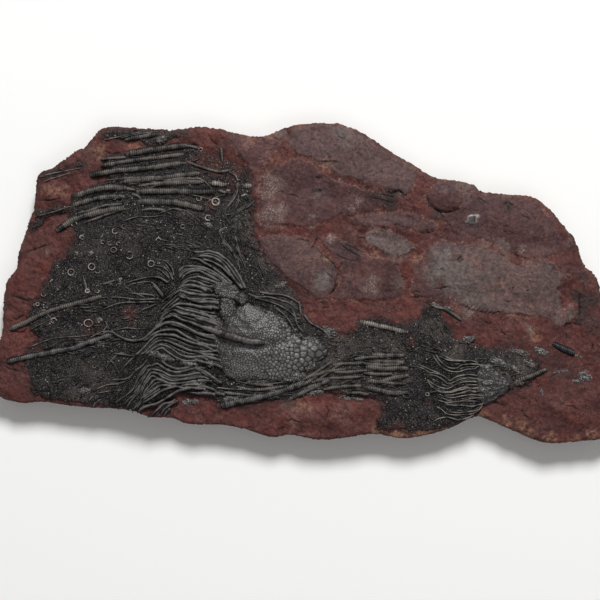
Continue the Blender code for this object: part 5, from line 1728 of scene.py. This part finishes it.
# %% The debris tree
def fragment(name, spine, radii, sides, flat=1.0):
    """A small closed tube of few faces, in millimetres, kept out of the scene."""
    verts, faces = [], []
    for (x, y, z), r in zip(spine, radii):
        for i in range(sides):
            turn = 2 * math.pi * i / sides
            verts.append((x, y + r * math.cos(turn), z + flat * r * math.sin(turn)))
    for ring in range(len(spine) - 1):
        for i in range(sides):
            a, b = ring * sides + i, ring * sides + (i + 1) % sides
            faces.append((a, a + sides, b + sides, b))
    faces += [tuple(range(sides)), tuple(reversed(range(len(verts) - sides, len(verts))))]
    mesh = bpy.data.meshes.new(name)
    mesh.from_pydata([tuple(c * MM for c in v) for v in verts], [], faces)
    mesh.validate()
    form = bmesh.new()
    form.from_mesh(mesh)
    bmesh.ops.recalc_face_normals(form, faces=form.faces[:])
    form.to_mesh(mesh)
    form.free()
    return bpy.data.objects.new(name, mesh)


fragments = [
    fragment("arm_bit", [(-2.4, 0, 0.1), (-1.0, 0.15, 0.3), (0.9, -0.1, 0.3), (2.3, 0.2, 0.1)],
             (0.3, 0.55, 0.5, 0.3), 5),
    fragment("bent_bit", [(-1.9, -0.5, 0.1), (-0.8, 0.3, 0.35), (0.7, 0.4, 0.3), (1.8, -0.6, 0.1)],
             (0.28, 0.45, 0.45, 0.25), 5),
    fragment("plate_bit", [(-0.75, 0, 0.1), (-0.3, 0, 0.2), (0.35, 0, 0.2), (0.8, 0, 0.1)],
             (0.3, 0.8, 0.75, 0.35), 6, 0.5),
    fragment("grain", [(-0.45, 0, 0.1), (0, 0.05, 0.25), (0.45, 0, 0.15)], (0.22, 0.5, 0.22), 5, 0.8),
]
strewn_tree = new_tree(
    "strewn_fragments", Float={"Density": 100000.0, "Smallest": 0.5, "Largest": 1.5},
    Int={"Seed": 0, "First": 0, "Last": 3}, Material={"Material": None})
t = strewn_tree
given = add(t, "NodeGroupInput").outputs
litter = add(t, "GeometryNodeInputNamedAttribute", {"Name": "litter"}, data_type="FLOAT")
thrown = add(t, "ShaderNodeMath", litter, given["Density"], operation="MULTIPLY")
points = add(t, "GeometryNodeDistributePointsOnFaces", {
    "Mesh": given["Geometry"], "Density": thrown, "Seed": given["Seed"]}, distribute_method="RANDOM")
spin = add(t, "FunctionNodeRandomValue", {
    0: (-0.35, -0.35, 0.0), 1: (0.35, 0.35, 2 * math.pi), "Seed": given["Seed"]}, data_type="FLOAT_VECTOR")
spin = add(t, "FunctionNodeEulerToRotation", spin)
turned = add(t, "FunctionNodeRotateRotation", points.outputs["Rotation"], spin, rotation_space="LOCAL")
size = add(t, "FunctionNodeRandomValue", {
    2: given["Smallest"], 3: given["Largest"], "Seed": given["Seed"]}, data_type="FLOAT").outputs[1]
kind = add(t, "FunctionNodeRandomValue", {
    4: given["First"], 5: given["Last"], "Seed": given["Seed"]}, data_type="INT").outputs[2]
joined = add(t, "GeometryNodeJoinGeometry")
for source in reversed(fragments):
    held = add(t, "GeometryNodeObjectInfo", {"Object": source}).outputs["Geometry"]
    t.links.new(add(t, "GeometryNodeGeometryToInstance", held).outputs[0], joined.inputs[0])
placed = add(t, "GeometryNodeInstanceOnPoints", {
    "Points": points, "Instance": joined, "Pick Instance": True, "Instance Index": kind,
    "Rotation": turned, "Scale": size})
tone = add(t, "FunctionNodeRandomValue", {2: 0.0, 3: 1.0, "Seed": given["Seed"]}, data_type="FLOAT").outputs[1]
toned = add(t, "GeometryNodeStoreNamedAttribute", {
    "Geometry": placed, "Name": "joint", "Value": tone}, domain="INSTANCE")
real = add(t, "GeometryNodeRealizeInstances", toned)
# How far up each face looks, painted as a highlight on top and shade on the sides of each fragment
up = add(t, "ShaderNodeSeparateXYZ", add(t, "GeometryNodeInputNormal")).outputs["Z"]
crest = add(t, "GeometryNodeStoreNamedAttribute", {"Geometry": real, "Name": "crest", "Value": up})
finished = add(t, "GeometryNodeSetMaterial", {"Geometry": crest, "Material": given["Material"]})
add(t, "NodeGroupOutput", finished)


def strewn(name, source, **values):
    """Fragments thrown on a copy of a piece's mesh."""
    copy = bpy.data.objects.new(name + "_source", source.data.copy())
    bpy.context.scene.collection.objects.link(copy)
    return grown(name, copy, strewn_tree, **values)


bits = strewn("debris_bits", mat, Density=22000.0, Seed=11, Smallest=0.45, Largest=1.5, First=0, Last=2,
              Material=crumb_calcite)
grains = strewn("debris_grains", mat, Density=98000.0, Seed=12, Smallest=0.5, Largest=1.6, First=3, Last=3,
                Material=crumb_calcite)
specks = strewn("calcite_specks", mat, Density=30000.0, Seed=13, Smallest=0.4, Largest=1.3, First=2, Last=3,
                Material=crumb_pale)
for source in fragments:
    bpy.data.objects.remove(source, do_unlink=True)

# %% [markdown]
# ## Camera, floor and light
#
# The slab was seen lying flat, from almost straight above and far away, so the camera has a
# long lens and leans only a little. A broad soft lamp behind the top of the slab rakes over
# the relief and draws the shadow under each arm. A weak one in front opens those shadows.

# %% Camera
TILT = math.radians(3.2)
FOCAL = 110.0
target = Vector((-4 * MM, -17.5 * MM, BED * MM))
lens = bpy.data.cameras.new("camera")
lens.lens = FOCAL
lens.clip_start, lens.clip_end = 0.05, 20
camera = bpy.data.objects.new("camera", lens)
camera.location = target + Vector((0, -math.sin(TILT), math.cos(TILT))) * 0.6 * FOCAL / lens.sensor_width
camera.rotation_euler = (TILT, 0, 0)
bpy.context.scene.collection.objects.link(camera)
bpy.context.scene.camera = camera
print("camera:", round(camera.location.z, 2), "m above the floor")

# %% Floor and lamps
floor_mesh = bpy.data.meshes.new("floor")
floor_mesh.from_pydata([(-3, -3, 0), (3, -3, 0), (3, 3, 0), (-3, 3, 0)], [], [(0, 1, 2, 3)])
floor = bpy.data.objects.new("floor", floor_mesh)
floor.location.z = -0.2 * MM  # just under the slab's back, so that the two don't flicker
bpy.context.scene.collection.objects.link(floor)
paint, t, shader, _ = new_material("matt_white_paint", 0.9, 0.5)
shader.inputs["Base Color"].default_value = linear("#f4f4f2")
floor.data.materials.append(paint)


def soft_light(name, place, size, power):
    """A round lamp that looks at the slab."""
    lamp = bpy.data.lights.new(name, "AREA")
    lamp.shape, lamp.size, lamp.energy = "DISK", size, power
    held = bpy.data.objects.new(name, lamp)
    held.location = place
    held.rotation_euler = (-Vector(place)).to_track_quat("-Z", "Y").to_euler()
    bpy.context.scene.collection.objects.link(held)


soft_light("key", (0.5, 3.2, 3.2), 1.5, 228)
soft_light("fill", (0.9, -2.0, 3.6), 2.6, 22)
world = bpy.data.worlds.new("studio")
world.use_nodes = True
world.node_tree.nodes["Background"].inputs["Color"].default_value = (1, 1, 1, 1)
world.node_tree.nodes["Background"].inputs["Strength"].default_value = 0.2
bpy.context.scene.world = world
bpy.context.scene.view_settings.view_transform = "Standard"

# %% [markdown]
# ## Handing the pieces to the frame
#
# The slab has no joints, so every piece rides on its one body. Pieces that stand for a plain
# solid say which one, and that solid is hidden.

# %% Bodies, and the solids that the pieces stand for
roles = [(slab, "marl", ["marl_slab"])]
roles += [(piece, "crinoid_calcite", ["large_crown"])
          for piece in (cup, ray, crown_arms["upper_arms"], crown_arms["fold_arms"])]
roles += [(piece, "crinoid_calcite", ["small_crown"]) for piece in (small_cup, crown_arms["small_arms"])]
roles += [(stem, "crinoid_calcite", [node]) for node, stem in stems.items()]
roles += [(piece, "crinoid_calcite", []) for piece in (
    mat, heaps, crown_arms["arm_tips"], rings, strands, columns, combed, bits, grains, specks)]
for piece, slot, nodes in roles:
    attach(piece, "root")
    if nodes:
        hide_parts(*nodes)
print("pieces:", len(roles))
